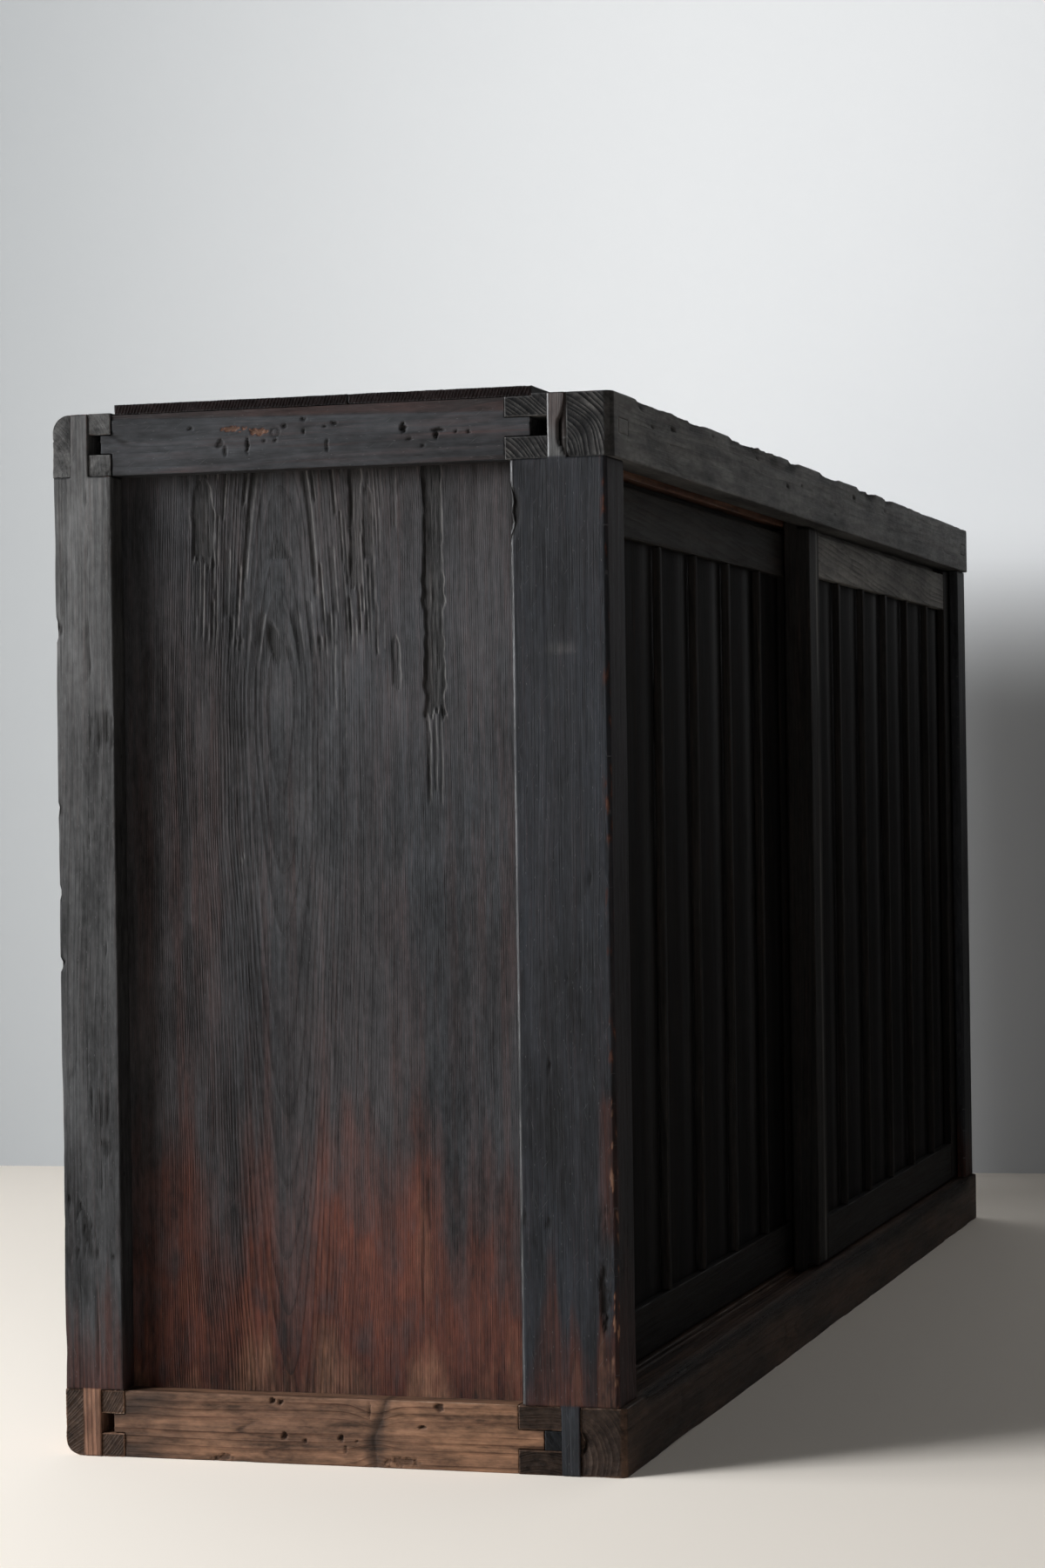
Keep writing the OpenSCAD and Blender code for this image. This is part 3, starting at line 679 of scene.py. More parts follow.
old_wood("wedge_wood", (0.022, 0.025, 0.029), (0.032, 0.035, 0.040), (0.02, 0.022, 0.024),
         (0.05, 0.05, 0.05), (0.02, 0.021, 0.024), ring_share=0.2, hole_share=0.0,
         end_light=(0.03, 0.033, 0.038))
# Its pale tone also makes the painted light on the ribs' and a stile's left sides.
old_wood("door_wood", (0.0055, 0.0050, 0.0046), (0.0115, 0.0105, 0.0098), (0.009, 0.0075, 0.0065),
         (0.045, 0.032, 0.024), (0.0045, 0.0042, 0.004), ring_share=0.7, ring_relief=0.5, hole_share=0.1,
         rough_range=(0.55, 0.75), pale=(0.20, 0.19, 0.175), shine=0.08, end_light=(0.02, 0.018, 0.017),
         polish=0.1)
old_wood("door_board_wood", (0.0055, 0.0055, 0.0058), (0.009, 0.009, 0.0093), (0.0068, 0.0065, 0.0065),
         (0.02, 0.016, 0.013), (0.0042, 0.0042, 0.0042), hole_share=0.0, rough_range=(0.6, 0.8), relief=0.1,
         ring_relief=0.1, shine=0.03, polish=0.45)
print("woods:", sorted(woods))

# %% [markdown]
# ## The side panels
# Each end of the chest is closed by one wide flat-sawn board. Its figure is a tall eye of growth rings, and
# above the eye the soft wood has torn out in furrows between the hard rings. A board like this is too wide
# for the cell maker, so it has its own grid: fine on the outside, where the furrows are cut as real depth,
# and coarse inside. The rings come from one formula for a trunk that leans out of the board, so the
# furrows, the bump and the colour all follow the same lines.

# %% Growth rings and furrows of a side panel
EYE_Y, EYE_Z = 307.0, 653.0
PITH_DEPTH, RING_WIDTH = 79.0, 1.4


def panel_rings(y, z, seed):
    rise = z - EYE_Z
    tilt = np.where(rise > 0, 0.040, 0.023) * (np.hypot(rise, 45) - 45)
    spot = (y * 0, y, z)
    across = y - EYE_Y + 2.0 * rough(spot, (1, 60, 90), seed)
    count = (np.hypot(across, PITH_DEPTH + tilt) - PITH_DEPTH) / RING_WIDTH
    waver = 0.15 * rough(spot, (1, 25, 60), seed + 1)
    return count + 0.3 * np.sin(count * 0.8) + 0.12 * np.sin(count * 2.3 + 1) + waver


def fan_furrows(y, z, rings, seed):
    """Short furrows between the hard rings, above the eye, each with its own torn ends."""
    stroke = rings * 0.55
    index = np.floor(stroke)
    profile = unit(1.9 - np.abs(stroke - index - 0.5) * 5.0)
    spot = (index * 9.7, y * 0, z)
    torn = unit((rough(spot, (4, 1, 42), seed) + 0.35 * rough(spot, (2, 1, 11), seed + 1) + 0.05) * 7.0)
    span = np.abs(y - EYE_Y + 6)
    reach = unit((z - EYE_Z - 28 - 0.15 * span) / 25) * unit((95 - span) / 22)
    return 1.9 * profile * torn * reach * (0.7 + 0.3 * rough(spot, (6, 1, 30), seed + 2))


def with_furrows(depth, y, z, furrows):
    """Adds furrows, each given by its middle, half width, two ends, depth, seed and raggedness."""
    for numbers in furrows:
        depth = np.maximum(depth, furrow(y, z, *numbers))
    return depth


def left_panel_marks(y, z, rings):
    depth = with_furrows(fan_furrows(y, z, rings, 11), y, z, [
        (377, 10.0, 776, 850, 3.0, 21, 7), (237, 6.0, 751, 866, 2.8, 22, 4), (226, 5.0, 775, 839, 2.0, 23, 5),
        (202, 3.0, 800, 866, 1.2, 24, 4), (224, 1.2, 696, 737, 1.2, 25, 2), (218, 1.3, 694, 740, 1.4, 26, 2),
        (212, 1.0, 698, 733, 1.0, 27, 2), (201, 4.0, 664, 710, 1.6, 28, 4), (209, 0.9, 654, 695, 0.8, 29, 2),
        (167, 9.0, 641, 870, 3.4, 30, 9), (173, 2.0, 563, 650, 1.8, 31, 6), (167, 1.6, 574, 645, 1.6, 32, 6),
        (162, 1.3, 559, 645, 1.3, 33, 6), (412, 1.0, 572, 697, 1.0, 34, 3), (248, 1.0, 621, 696, 1.0, 35, 3),
        (257, 1.3, 647, 756, 1.3, 36, 4), (141, 1.2, 416, 429, 1.6, 37, 1), (234, 1.0, 478, 495, 1.0, 38, 1),
        (178, 1.6, 199, 248, 1.3, 39, 5)])
    leaf = 1 - np.hypot((y - 311 - (z - 704) * 0.18) / 7.5, (z - 705) / 21)
    depth = np.maximum(depth, unit(leaf * 3) * (1.2 + 1.4 * unit((y - 306) / 9)))
    for line, deep in (([(183, 221), (185, 112)], 1.3), ([(131, 159), (132, 132)], 1.2),
                       ([(345, 126), (331, 108), (334, 57)], 0.8), ([(416, 700), (409, 572)], 0.9)):
        depth = np.maximum(depth, crack(y, z, line, deep))
    knot = np.hypot(y - 346.4, (z - 521) * 0.8)
    return np.maximum(depth, 1.4 * unit(1 - np.abs(knot - 2.6) / 1.1))


def right_panel_marks(y, z, rings):
    return with_furrows(fan_furrows(y, z, rings, 61) * 0.7, y, z, [
        (140, 4.0, 700, 866, 2.2, 71), (405, 5.0, 640, 790, 2.0, 72), (352, 1.5, 300, 470, 1.0, 73),
        (190, 1.2, 90, 240, 1.0, 74)])


print("rings from the eye to the front edge:", panel_rings(np.array([90.0]), np.array([655.0]), 1).round(1))


# %% Make a side panel
def slab(along, across, fine_skip):
    """A closed board as a grid: fine faces in front, coarse ones behind and sides between."""
    n, m = len(across), len(along)
    front = np.arange(n * m).reshape(n, m)
    cells = [(i, j) for i in range(n - 1) for j in range(m - 1)]
    quads = [(front[i, j], front[i, j + 1], front[i + 1, j + 1], front[i + 1, j]) for i, j in cells]
    keep = [sorted({*range(0, count, skip), count - 1}) for count, skip in zip((n, m), fine_skip)]
    back, spots = {}, []
    for i in range(n):
        for j in range(m):
            if (i in keep[0] and j in keep[1]) or i in (0, n - 1) or j in (0, m - 1):
                back[i, j] = n * m + len(spots)
                spots.append((i, j))
    for i0, i1 in zip(keep[0][:-1], keep[0][1:]):
        for j0, j1 in zip(keep[1][:-1], keep[1][1:]):
            loop = [(i, j0) for i in range(i0, i1)] + [(i1, j) for j in range(j0, j1)]
            loop += [(i, j1) for i in range(i1, i0, -1)] + [(i0, j) for j in range(j1, j0, -1)]
            quads.append([back[spot] for spot in loop if spot in back])
    rim = [(i, 0) for i in range(n - 1)] + [(n - 1, j) for j in range(m - 1)]
    rim += [(i, m - 1) for i in range(n - 1, 0, -1)] + [(0, j) for j in range(m - 1, 0, -1)]
    for a, b in zip(rim, rim[1:] + rim[:1]):
        quads.append((front[a], front[b], back[b], back[a]))
    return quads, np.array(spots)


def brown_share(y, z, seed):
    """Where smoke never settled: streaks of brown that climb from the foot, and tan close to the floor."""
    spot = (y * 0, y, z)
    climb = 300 + 68 * rough(spot, (1, 26, 900), seed) + 40.8 * rough(spot, (1, 7, 600), seed + 1)
    cloud = 0.35 * crumbly(spot, (1, 22, 60), seed + 2)
    low = unit((climb - z) / 150 + cloud)
    tan = np.clip((0.3 * climb - z) / 60 + cloud + 0.45 * np.exp(-(((y - 305) / 42) ** 2)), 0, 0.75)
    low *= 1 - 0.45 * unit(crumbly(spot, (1, 16, 34), seed + 6) * 1.6)
    low *= 1 - 0.5 * np.exp(-(((y - EYE_Y) / 28) ** 2)) * unit((z - 120) / 80)
    faint = unit(0.30 * rough(spot, (1, 9, 260), seed + 3) + 0.10 * crumbly(spot, (1, 30, 60), seed + 4))
    edge = unit(1 - np.minimum(870 - z, 0.5 * (y - 80) + 0.03 * (860 - z)) / 9) * (0.9 + 0.5 * cloud)
    return np.maximum(low + tan + faint * unit((700 - z) / 250), edge)


def side_panel(node, outward, marks, seed):
    """Makes one side panel. outward is the sign of X on its outer side."""
    low, high = box_mm(node)
    fan = (low[1] + 60, EYE_Y + 82)
    y_lines = np.concatenate([np.linspace(low[1], fan[0], 36)[:-1], np.linspace(*fan, 286)[:-1],
                              np.linspace(fan[1], high[1], 46)])
    z_lines = np.concatenate([np.linspace(low[2], 620, 140)[:-1], np.linspace(620, high[2], 104)])
    polygons, spots = slab(z_lines, y_lines, (6, 4))
    y, z = [a.ravel() for a in np.meshgrid(y_lines, z_lines, indexing="ij")]
    spot, rings = (y * 0, y, z), panel_rings(y, z, seed)
    inset = np.min([y - low[1], high[1] - y, z - low[2], high[2] - z], axis=0)
    wide_rings = unit(1.6 - 0.9 * np.abs(y - EYE_Y) / 60)
    smooth = unit((y - 320) / 60) * unit((430 - z) / 120)
    ridges = 0.45 * wide_rings * (1 - (rings % 1) ** 3) * (1 - 0.6 * smooth)
    waves = 0.5 + 0.35 * crumbly(spot, (1, 30, 120), seed + 5)
    fibres = 0.12 * (1 - crumbly(spot, (1, 2.4, 30), seed + 6, 2))
    dug = marks(y, z, rings)
    climb = np.gradient(dug.reshape(len(y_lines), len(z_lines)), y_lines, axis=0).ravel()
    # Painted highlight: the walls of the furrows that face +Y, the window's side, are painted pale.
    painted_lit_wall = unit(climb * 1.15 - 0.1) * (0.7 + 0.5 * crumbly(spot, (1, 3, 9), seed + 8, 2))
    depth = (ridges + waves + dug + fibres) * unit(inset / 8)
    outer, inner = (low[0], high[0]) if outward < 0 else (high[0], low[0])
    if outward > 0:
        polygons = [p[::-1] for p in polygons]
    y_back, z_back = y_lines[spots[:, 0]], z_lines[spots[:, 1]]
    x = np.concatenate([outer - outward * depth, np.full(len(spots), inner)])
    y, z = np.concatenate([y, y_back]), np.concatenate([z, z_back])
    rings = np.concatenate([rings, panel_rings(y_back, z_back, seed)])
    dug, painted_lit_wall = [np.concatenate([values, y_back * 0]) for values in (dug, painted_lit_wall)]
    outside = np.arange(len(y)) < len(depth)
    # Painted sheen: a faint paler band down the middle of the eye, fading out towards the foot.
    eye_sheen = 0.06 * np.exp(-(((y - EYE_Y) / 60) ** 2)) * unit((z - 380) / 120)
    co = from_corner(0, 0, 0) + np.stack([x, y, z], 1) / 1000
    return make_piece(node, co, polygons, np.stack([y, x, z], 1) / 1000, rings=rings,
                      brown=np.where(outside, brown_share(y, z, seed + 7), 1.6),
                      dug=np.where(outside, np.clip(dug / 3, 0, 0.8), 0),
                      pale=np.maximum(unit(painted_lit_wall), eye_sheen))


left_panel = side_panel("left_side_panel", -1, left_panel_marks, 3)
side_panel("right_side_panel", 1, right_panel_marks, 8)
print("side panel:", len(left_panel.data.polygons), "faces")

# %% [markdown]
# ## Marks of each timber
# These are the marks that give the chest its history. On the near posts they are drying splits, torn knots
# and a broken arris. The rails have nail pits and insect holes, and one tenon has lost a long splinter.
# Each is placed in millimetres, on the face it belongs to. They could be sculpted by hand instead, but a
# rule with places in it can be read, moved and run again.

# %% Marks on the posts
LENGTH, DEPTH, HEIGHT, POST = 1818, 507, 909, 58
SHOULDER_Z, FOOT_Z = 854, 58


def end_face(way):
    """Where the surface looks out of the chest's left end."""
    return unit(-way[:, 0] * 2.5 - 0.5)


def front_post_marks(x, y, z, way):
    chip = unit((1 - np.hypot((y - 92) / 12, (z - 811) / 26)) * 2.5)
    chip *= 4.5 * (0.75 + 0.4 * rough((x, y, z), (3, 3, 9), 5))
    depth = pits(y, z, [(17.5, 149, 4.5, 30, 2.6), (15, 185, 7, 52, 1.0), (86, 213, 3, 7, 1.2),
                        (64, 212, 4, 7, 1.3), (68, 432, 1.5, 4, 1.2), (24, 502, 1.6, 4, 1.2),
                        (62, 345, 2, 4, 1.5), (45, 419, 2.5, 3, 1.2)], 6)
    for line in ([(78, 332), (78, 213), (72, 176), (66, 59)], [(68, 332), (70, 184), (62, 59)],
                 [(54, 166), (47, 59)], [(36, 250), (38, 120)], [(30, 640), (34, 380)],
                 [(60, 800), (57, 620)]):
        depth = np.maximum(depth, crack(y, z, line, 0.6, 0.9))
    lost = np.interp(z, [854, 856, 864, 871, 886, 891, 897, 910], [0, 0, 5, 8, 7, 4, 1.2, 0.5])
    splinter = 9.0 * ((y > 39) & (y < 40 + lost) & (z > SHOULDER_Z) & (x < 12))
    sloped = 1.1 * unit((y - 87.0) / 3) * (z < SHOULDER_Z) * (x < 3)
    return end_face(way) * np.maximum(depth, splinter) + np.maximum(chip * (z < SHOULDER_Z), sloped)


def front_post_gloss(x, y, z, way):
    """The inner arris is polished by dusting, and so is the arris of the tenon above it."""
    arris = unit(y - 86.8) * (z < SHOULDER_Z) + unit(y - 54) * (z > SHOULDER_Z)
    return arris * (x < 4) * unit(rough((x, y, z), (20, 20, 26), 75) + 1.1)


def back_post_marks(x, y, z, way):
    depth = pits(y, z, [(464, 270, 8, 7, 1.5), (482, 194, 7, 15, 1.6), (506, 722, 6, 11, 2.0),
                        (506, 565, 5, 5, 1.5), (507, 492, 5, 8, 1.5), (508, 428, 7, 9, 3.0),
                        (452, 806, 3, 8, 1.5)], 16)
    splits = [(475, 830, 850), (475.5, 783, 797), (474.5, 682, 733), (478, 530, 547), (463, 435, 453),
              (458, 391, 404), (477.5, 291, 325), (468.5, 286, 325), (462, 286, 318), (470, 233, 258),
              (475.5, 70, 150)]
    cuts = [(middle, 1.1, low, high, 2.2, 40 + n, 2) for n, (middle, low, high) in enumerate(splits)]
    torn = furrow(y, z, 463, 13, 620, 650, 2.0, 60, 9) * unit(rough((x, y, z), (9, 3, 30), 61) + 0.8)
    depth = np.maximum(with_furrows(depth, y, z, cuts), torn)
    strokes = unit(crumbly((x, y, z), (9, 3.4, 8), 62, 2) * 3.5 - 0.5)
    for low, high, left, right in ((208, 226, 503, 479), (171, 182, 500, 455)):
        depth = np.maximum(depth, 1.6 * strokes * (z > low) * (z < high) * (y < left) * (y > right))
    return depth * np.maximum(end_face(way), 0.6 * (y > 500) * (x < 10))


def smoke_line(level, spread, seed):
    """Brown wood below a ragged line, where the smoke never settled."""
    def share(x, y, z, way):
        points = (x, y, z)
        climb = level + spread * rough(points, (15, 15, 700), seed)
        climb += 0.5 * spread * rough(points, (5, 5, 400), seed + 1)
        cloud = 0.4 * crumbly(points, (18, 18, 45), seed + 2)
        return unit((climb - z) / 60 + cloud) + np.clip((0.35 * climb - z) / 60 + cloud, 0, 0.6)
    return share


def back_post_brown(x, y, z, way):
    """Brown at the foot, and a clean tan tenon in the rail's end."""
    low = 0.75 * smoke_line(150, 60, 74)(x, y, z, way)
    return np.where(z > FOOT_Z, low, 2.0 + 0.5 * rough((x, y, z), (9, 9, 30), 79))


def back_post_painted_light(x, y, z, way):
    """Painted light: the outer side is painted paler, more so towards the top, as a painted sheen, and so is
    the side towards the panel, which lifts its shade; every other side gets a little.
    """
    return np.interp(z, [100, 860], [0.2, 0.48]) * np.maximum(end_face(way), np.clip(-way[:, 1], 0.15, 1))


def front_post_brown(x, y, z, way):
    points = (x, y, z)
    rub = unit(2.0 - np.hypot(x - 2, y - 7) / 2.6) * unit(crumbly(points, (4, 4, 8), 71) * 6 - 1.6)
    rub *= np.interp(z, [58, 120, 316, 340, 854, 860], [1.2, 2.6, 2.6, 1.3, 1.3, 0])
    height = np.interp(z, [190, 210, 310, 325], [0, 0.6, 0.6, 0])
    rub += 1.2 * unit(1.5 - np.hypot(x - 3, y - 12) / 7) * height
    tenon = 0.35 * ((z > SHOULDER_Z) & (y > 40) & (y < 56)) * unit((z - 865) / 20)
    low = smoke_line(165, 80, 72)(x, y, z, way) * (1 - 0.75 * unit(-way[:, 1])) * (z > FOOT_Z)
    return low * np.interp(y, [30, 60], [1.25, 0.8]) + rub + tenon + 0.14 * unit(-way[:, 1])


def front_post_pale(x, y, z, way):
    """The tenon in the head rail's end is bare, and a smudge sits on the post's side."""
    tenon = 0.5 * ((z > SHOULDER_Z) & (y > 38) & (y < 58)) + 0.05 * (z < FOOT_Z)
    smudge = 0.3 * unit(1.4 - np.hypot((y - 47) / 13, (z - 694) / 4)) * end_face(way)
    return np.maximum(tenon, smudge)


print("post marks ready")

# %% Marks on the rails
TOP_BAND = (110, 896, 446, 903)


def top_band(y, z):
    """How far above the line that the boards' shadow band starts at."""
    y0, z0, y1, z1 = TOP_BAND
    return z - (z0 + (z1 - z0) * (y - y0) / (y1 - y0))


def top_side_rail_marks(x, y, z, way):
    depth = pits(y, z, [(340, 890, 12, 2.6, 1.3), (316, 887, 9, 3.2, 1.4), (351, 878, 4, 3.5, 1.6),
                        (346, 871, 1.6, 6, 1.4), (325.5, 878, 1.7, 10, 2.2), (378, 892, 2.6, 2, 1.6),
                        (292, 891, 2.4, 1.8, 1.8), (310, 879, 2, 2, 1.4), (300, 879, 2, 2, 1.4),
                        (274, 896, 3, 2, 1.6), (274, 886, 2.6, 2, 1.8), (247, 892, 3.4, 2, 2.0),
                        (255, 889, 2.2, 1.6, 1.8), (253, 873, 1.8, 6, 1.6), (184, 885, 3.4, 4.8, 3.5),
                        (180, 875, 3.6, 2.2, 1.8), (154, 882, 7, 2.0, 3.0), (155, 878, 2, 4.4, 3.0),
                        (137, 880, 1.6, 1.6, 1.6), (126, 879, 1.6, 1.6, 1.6), (166, 869, 1.8, 1.6, 1.4)], 26)
    ring = np.hypot(y - 300, z - 886)
    depth = np.maximum(depth, 1.2 * unit(1 - np.abs(ring - 3.6) / 1.3))
    above = top_band(y, z)
    depth = np.maximum(depth, 0.8 * unit(1 - np.abs(above) / 1.1) + 0.5 * (above > 0))
    return depth * end_face(way) * (y > 92)


def top_side_rail_brown(x, y, z, way):
    points = (x, y, z)
    band = unit(top_band(y, z) / 2.5 + 0.3) * (0.75 + 0.4 * crumbly(points, (20, 60, 20), 81))
    streaks = 0.35 * unit(rough(points, (9, 130, 2.6), 82) * 1.6 - 0.35)
    gouged = 1.9 * (pits(y, z, [(340, 890, 12, 2.6, 1), (316, 887, 9, 3.2, 1)], 26) > 0.2)
    return np.maximum(0.72 * band + streaks + 0.25 * unit(crumbly(points, (30, 60, 16), 83)), gouged)


def foot_side_rail_marks(x, y, z, way):
    depth = pits(y, z, [(304, 24, 3.4, 3.6, 3.0), (286, 20, 2.2, 2.2, 2.0), (315, 54, 3.2, 2.2, 3.0),
                        (308, 53, 2.4, 3.2, 2.5), (253, 24, 2.8, 2.6, 2.6), (238, 22, 2.6, 2.4, 2.4),
                        (249, 14, 1.4, 7, 1.2), (179, 36, 5, 2.2, 3.0), (164, 53, 4.5, 3.8, 2.4),
                        (227, 48, 1.4, 7, 1.2), (361, 3, 12, 4, 1.6), (199, 6, 16, 5, 1.2)], 36)
    knot = y - np.interp(z, [1, 13, 26, 41, 51, 58], [221, 222, 223, 216, 214, 211])
    depth = np.maximum(depth, 0.5 * unit(1 - np.abs(knot) / 1.6) + 0.7 * unit(1 - np.abs(knot) / 8))
    return depth * end_face(way) * (y > 92)


def foot_side_rail_rings(points):
    """Lines that run along the rail and swerve round the knot."""
    y, z = points[:, 1], points[:, 2]
    bend = 7 * np.exp(-((y - 222) / 16) ** 2) * np.sign(z - 26) * unit(np.abs(z - 26) / 10)
    wave = 2.0 * rough(points, (60, 150, 60), 91) + 0.8 * rough(points, (40, 40, 40), 92)
    lines = (z + bend + wave + 0.012 * (y - 90)) / 8.2 + points[:, 0] / 14
    return lines + 0.25 * np.sin(lines * 2.1)


def foot_side_rail_smoke(x, y, z, way):
    """Some smoke is left near the posts, above and below, and in the middle of the knot."""
    cloud = 0.6 * crumbly((x, y, z), (40, 60, 7), 95, 4)
    corner = np.interp(y, [365, 420, 450], [0, 0.52, 0.75]) * np.clip((np.abs(z - 29) + 4) / 14, 0.35, 1)
    off = np.abs(y - np.interp(z, [1, 26, 58], [221, 222, 211])) / np.interp(z, [0, 20, 58], [11, 10, 4])
    knot = 0.62 * unit(1.3 - off) * (1 + 0.5 * crumbly((x, y, z), (9, 5, 12), 96))
    low_edge = 0.35 * unit(1 - z / 7)
    return np.clip(np.maximum(np.maximum(corner, knot), low_edge) + cloud * (0.3 + corner), 0, 0.85)


def sill_smoke(x, y, z, way):
    """The sill is darkened nearly as dark as the doors, a little less on its upward faces and less again on
    its end.
    """
    cloud = 0.15 * crumbly((x, y, z), (120, 25, 25), 58)
    return 0.82 - 0.12 * unit(way[:, 2]) - 0.35 * end_face(way) + cloud


def head_rail_marks(x, y, z, way):
    front = unit(-way[:, 1] * 2.5 - 0.5)
    depth = pits(x, z, [(100, 903, 4, 1.6, 2.0), (137, 890, 3.4, 1.5, 3.0), (160, 887, 2.4, 1.2, 2.0),
                        (214, 895, 7, 2.0, 4.0), (207, 881, 2.6, 1.3, 2.0), (554, 898, 6, 1.7, 3.0),
                        (564, 882, 4, 1.3, 2.0), (695, 881, 5, 1.6, 2.5), (368, 903, 4, 1.8, 2.0),
                        (764, 887, 5, 1.4, 2.0), (1044, 896, 8, 2.2, 4.0), (1225, 894, 5, 1.4, 2.4),
                        (933, 869, 5, 1.3, 2.0)], 46)
    arris = unit(1 - np.hypot(y, HEIGHT - z) / 17)
    gnawed = unit(crumbly((x, y, z), (52, 24, 24), 47, 4) * 1.5 + 0.1)
    gnawed *= np.clip(rough((x, y, z), (300, 99, 99), 48) + 0.7, 0.15, 1)
    return depth * front + 5.0 * arris * gnawed * np.clip(x / 60, 0.15, 1)


def head_rail_smoke(x, y, z, way):
    """The bevel at the near end is darkened nearly to black, and the face beside it less and less away from
    the bevel; stains spread over the rest.
    """
    points = (x, y, z)
    bevel = np.clip(2.2 - (x + y) / 4.5, 0, 0.75) * (y < 12)
    beside = 0.4 * np.exp(-x / 22) * (y < 3) * (1 + crumbly(points, (14, 14, 14), 49))
    stains = 0.55 * unit(crumbly(points, (70, 20, 12), 50, 4) * 2.2 - 0.5)
    return np.clip(bevel + beside + stains, 0, 0.85)


def head_rail_brown(x, y, z, way):
    """The tracks and the underside are bare orange wood, and the outside has a faint brown cast in places."""
    under = ((z < 880) & (y > 28) & (x > 45)) * (0.8 + 0.3 * crumbly((x, y, z), (120, 20, 20), 51))
    return 1.9 * under + unit(crumbly((x, y, z), (200, 30, 18), 52) - 0.2) * 0.5


def sill_marks(x, y, z, way):
    arris = unit(1 - np.hypot(y, FOOT_Z - z) / 13)
    arris *= unit(np.minimum(x - POST, LENGTH - POST - x) / 40)
    hollow = 0.8 + 0.6 * crumbly((x, y, z), (110, 30, 30), 56, 3)
    slot = (y > 30) & (y < 41) & (z > 18) & (z < 37) & (x < 9)
    bite = 6.0 * slot * unit(1 - np.hypot((y - 38) / 9, (z - 28) / 11))
    return 6.0 * arris * np.clip(hollow, 0, 1.2) + bite * end_face(way)


def knocked_corner(z_face, size, seed):
    """The outer arris of a back rail is knocked away near the left end."""
    def depth(x, y, z):
        torn = 4.0 * crumbly((x, y, z), (14, 20, 20), seed) * np.exp(-x / 90)
        return size * np.exp(-x / 45) + torn
    return [((1, DEPTH), (2, z_face), depth, "round")]


def front_rail_rings(near, far, pitch_near, pitch_far, seed):
    """The head rail and the sill have their pith by the front block, and other rings behind the tenon."""
    first, second = trunk(0, near, pitch_near, seed, 1.5), trunk(0, far, pitch_far, seed + 1, 1.5)
    return lambda points: np.where(points[:, 1] < 42, first(points), second(points))


def post_arrises(*sides):
    """The two front arrises of a post."""
    return [((0, side), (1, 5), 3, "flat") for side in sides]


def rail_ends(node, size):
    low, high = box_mm(node)
    return [((0, end), (1, low[1]), size, "flat") for end in (low[0], high[0])]


print("rail marks ready")

# %% [markdown]
# ## The doors' timbers
# The doors are framed, with thin boards behind and narrow ribs in front. Years of hands have rounded the
# ribs, and the boards have each cupped a little between them, so every bay catches the light as a soft
# band. The cupping is a curve worked out between the ribs' measured places, which moves the boards' own
# points. A bend modifier would need a separate object for each bay.


# %% Door shapes
def cupped(door):
    """Boards that bulge a little in each bay between the ribs."""
    ribs = sorted(sum(corner.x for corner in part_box(f"{door}_rib_{n}")) / 2 for n in range(1, 6))
    low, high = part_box(door + "_boards")
    edges = in_mm(np.array([[v, 0, 0] for v in [low.x, *ribs, high.x]]))[0]

    def place(x):
        bay = np.clip(np.searchsorted(edges, x) - 1, 0, len(edges) - 2)
        return bay, (x - edges[bay]) / (edges[bay + 1] - edges[bay])

    def marks(x, y, z, way):
        bay, share = place(x)
        bow = 1.3 * (2 * share - 1) ** 2 + 0.25 * np.sin(share * 9 + bay * 2)
        return np.clip(bow, 0, 2) * (np.abs(way[:, 1]) > 0.7)

    def sheen(x, y, z, way):
        bay, share = place(x)
        uneven = 0.8 + 0.5 * rough((x, y, z), (14, 99, 220), 37)
        band = 0.34 * np.exp(-(((share - 0.80) / 0.13) ** 2))
        return band * uneven * np.interp(z, [60, 300, 840], [0.3, 0.7, 1.0])

    return marks, sheen


def rib_sides_painted_light(x, y, z, way):
    """Painted light: the ribs' left sides, which face -X, are painted a little paler."""
    return 0.055 * unit(-way[:, 0])


def stile_arris_and_painted_light(node):
    """The inner front arris of a leading stile is rubbed pale, and its left side, facing -X, gets a little
    painted light.
    """
    low, high = box_mm(node)

    def share(x, y, z, way):
        arris = unit(1.5 - np.hypot(x - high[0] + 12, y - low[1]) / 3.5)
        return np.maximum(0.55 * arris, 0.05 * unit(-way[:, 0]))

    return share


def sloping_lines(points):
    """Grain that runs out through the rail's edge, in long flat curves."""
    wave = 11.0 * rough(points, (260, 60, 60), 33) + 2.5 * rough(points, (90, 30, 20), 34)
    lines = (points[:, 2] + 0.07 * points[:, 0] + wave) / 6.5 + points[:, 1] / 9
    return lines + 0.35 * np.sin(lines * 1.3)


def thin_lines(pitch, lean, seed):
    """Straight fine grain, as in a quarter-sawn board: the rings cross the board's thickness."""
    def count(points):
        y, z = points[:, 1], points[:, 2]
        return (y + lean * z) / pitch + 0.3 * rough(points, (400, 25, 400), seed) + 0.2 * np.sin(y * 0.13)
    return count


print("doors ready")

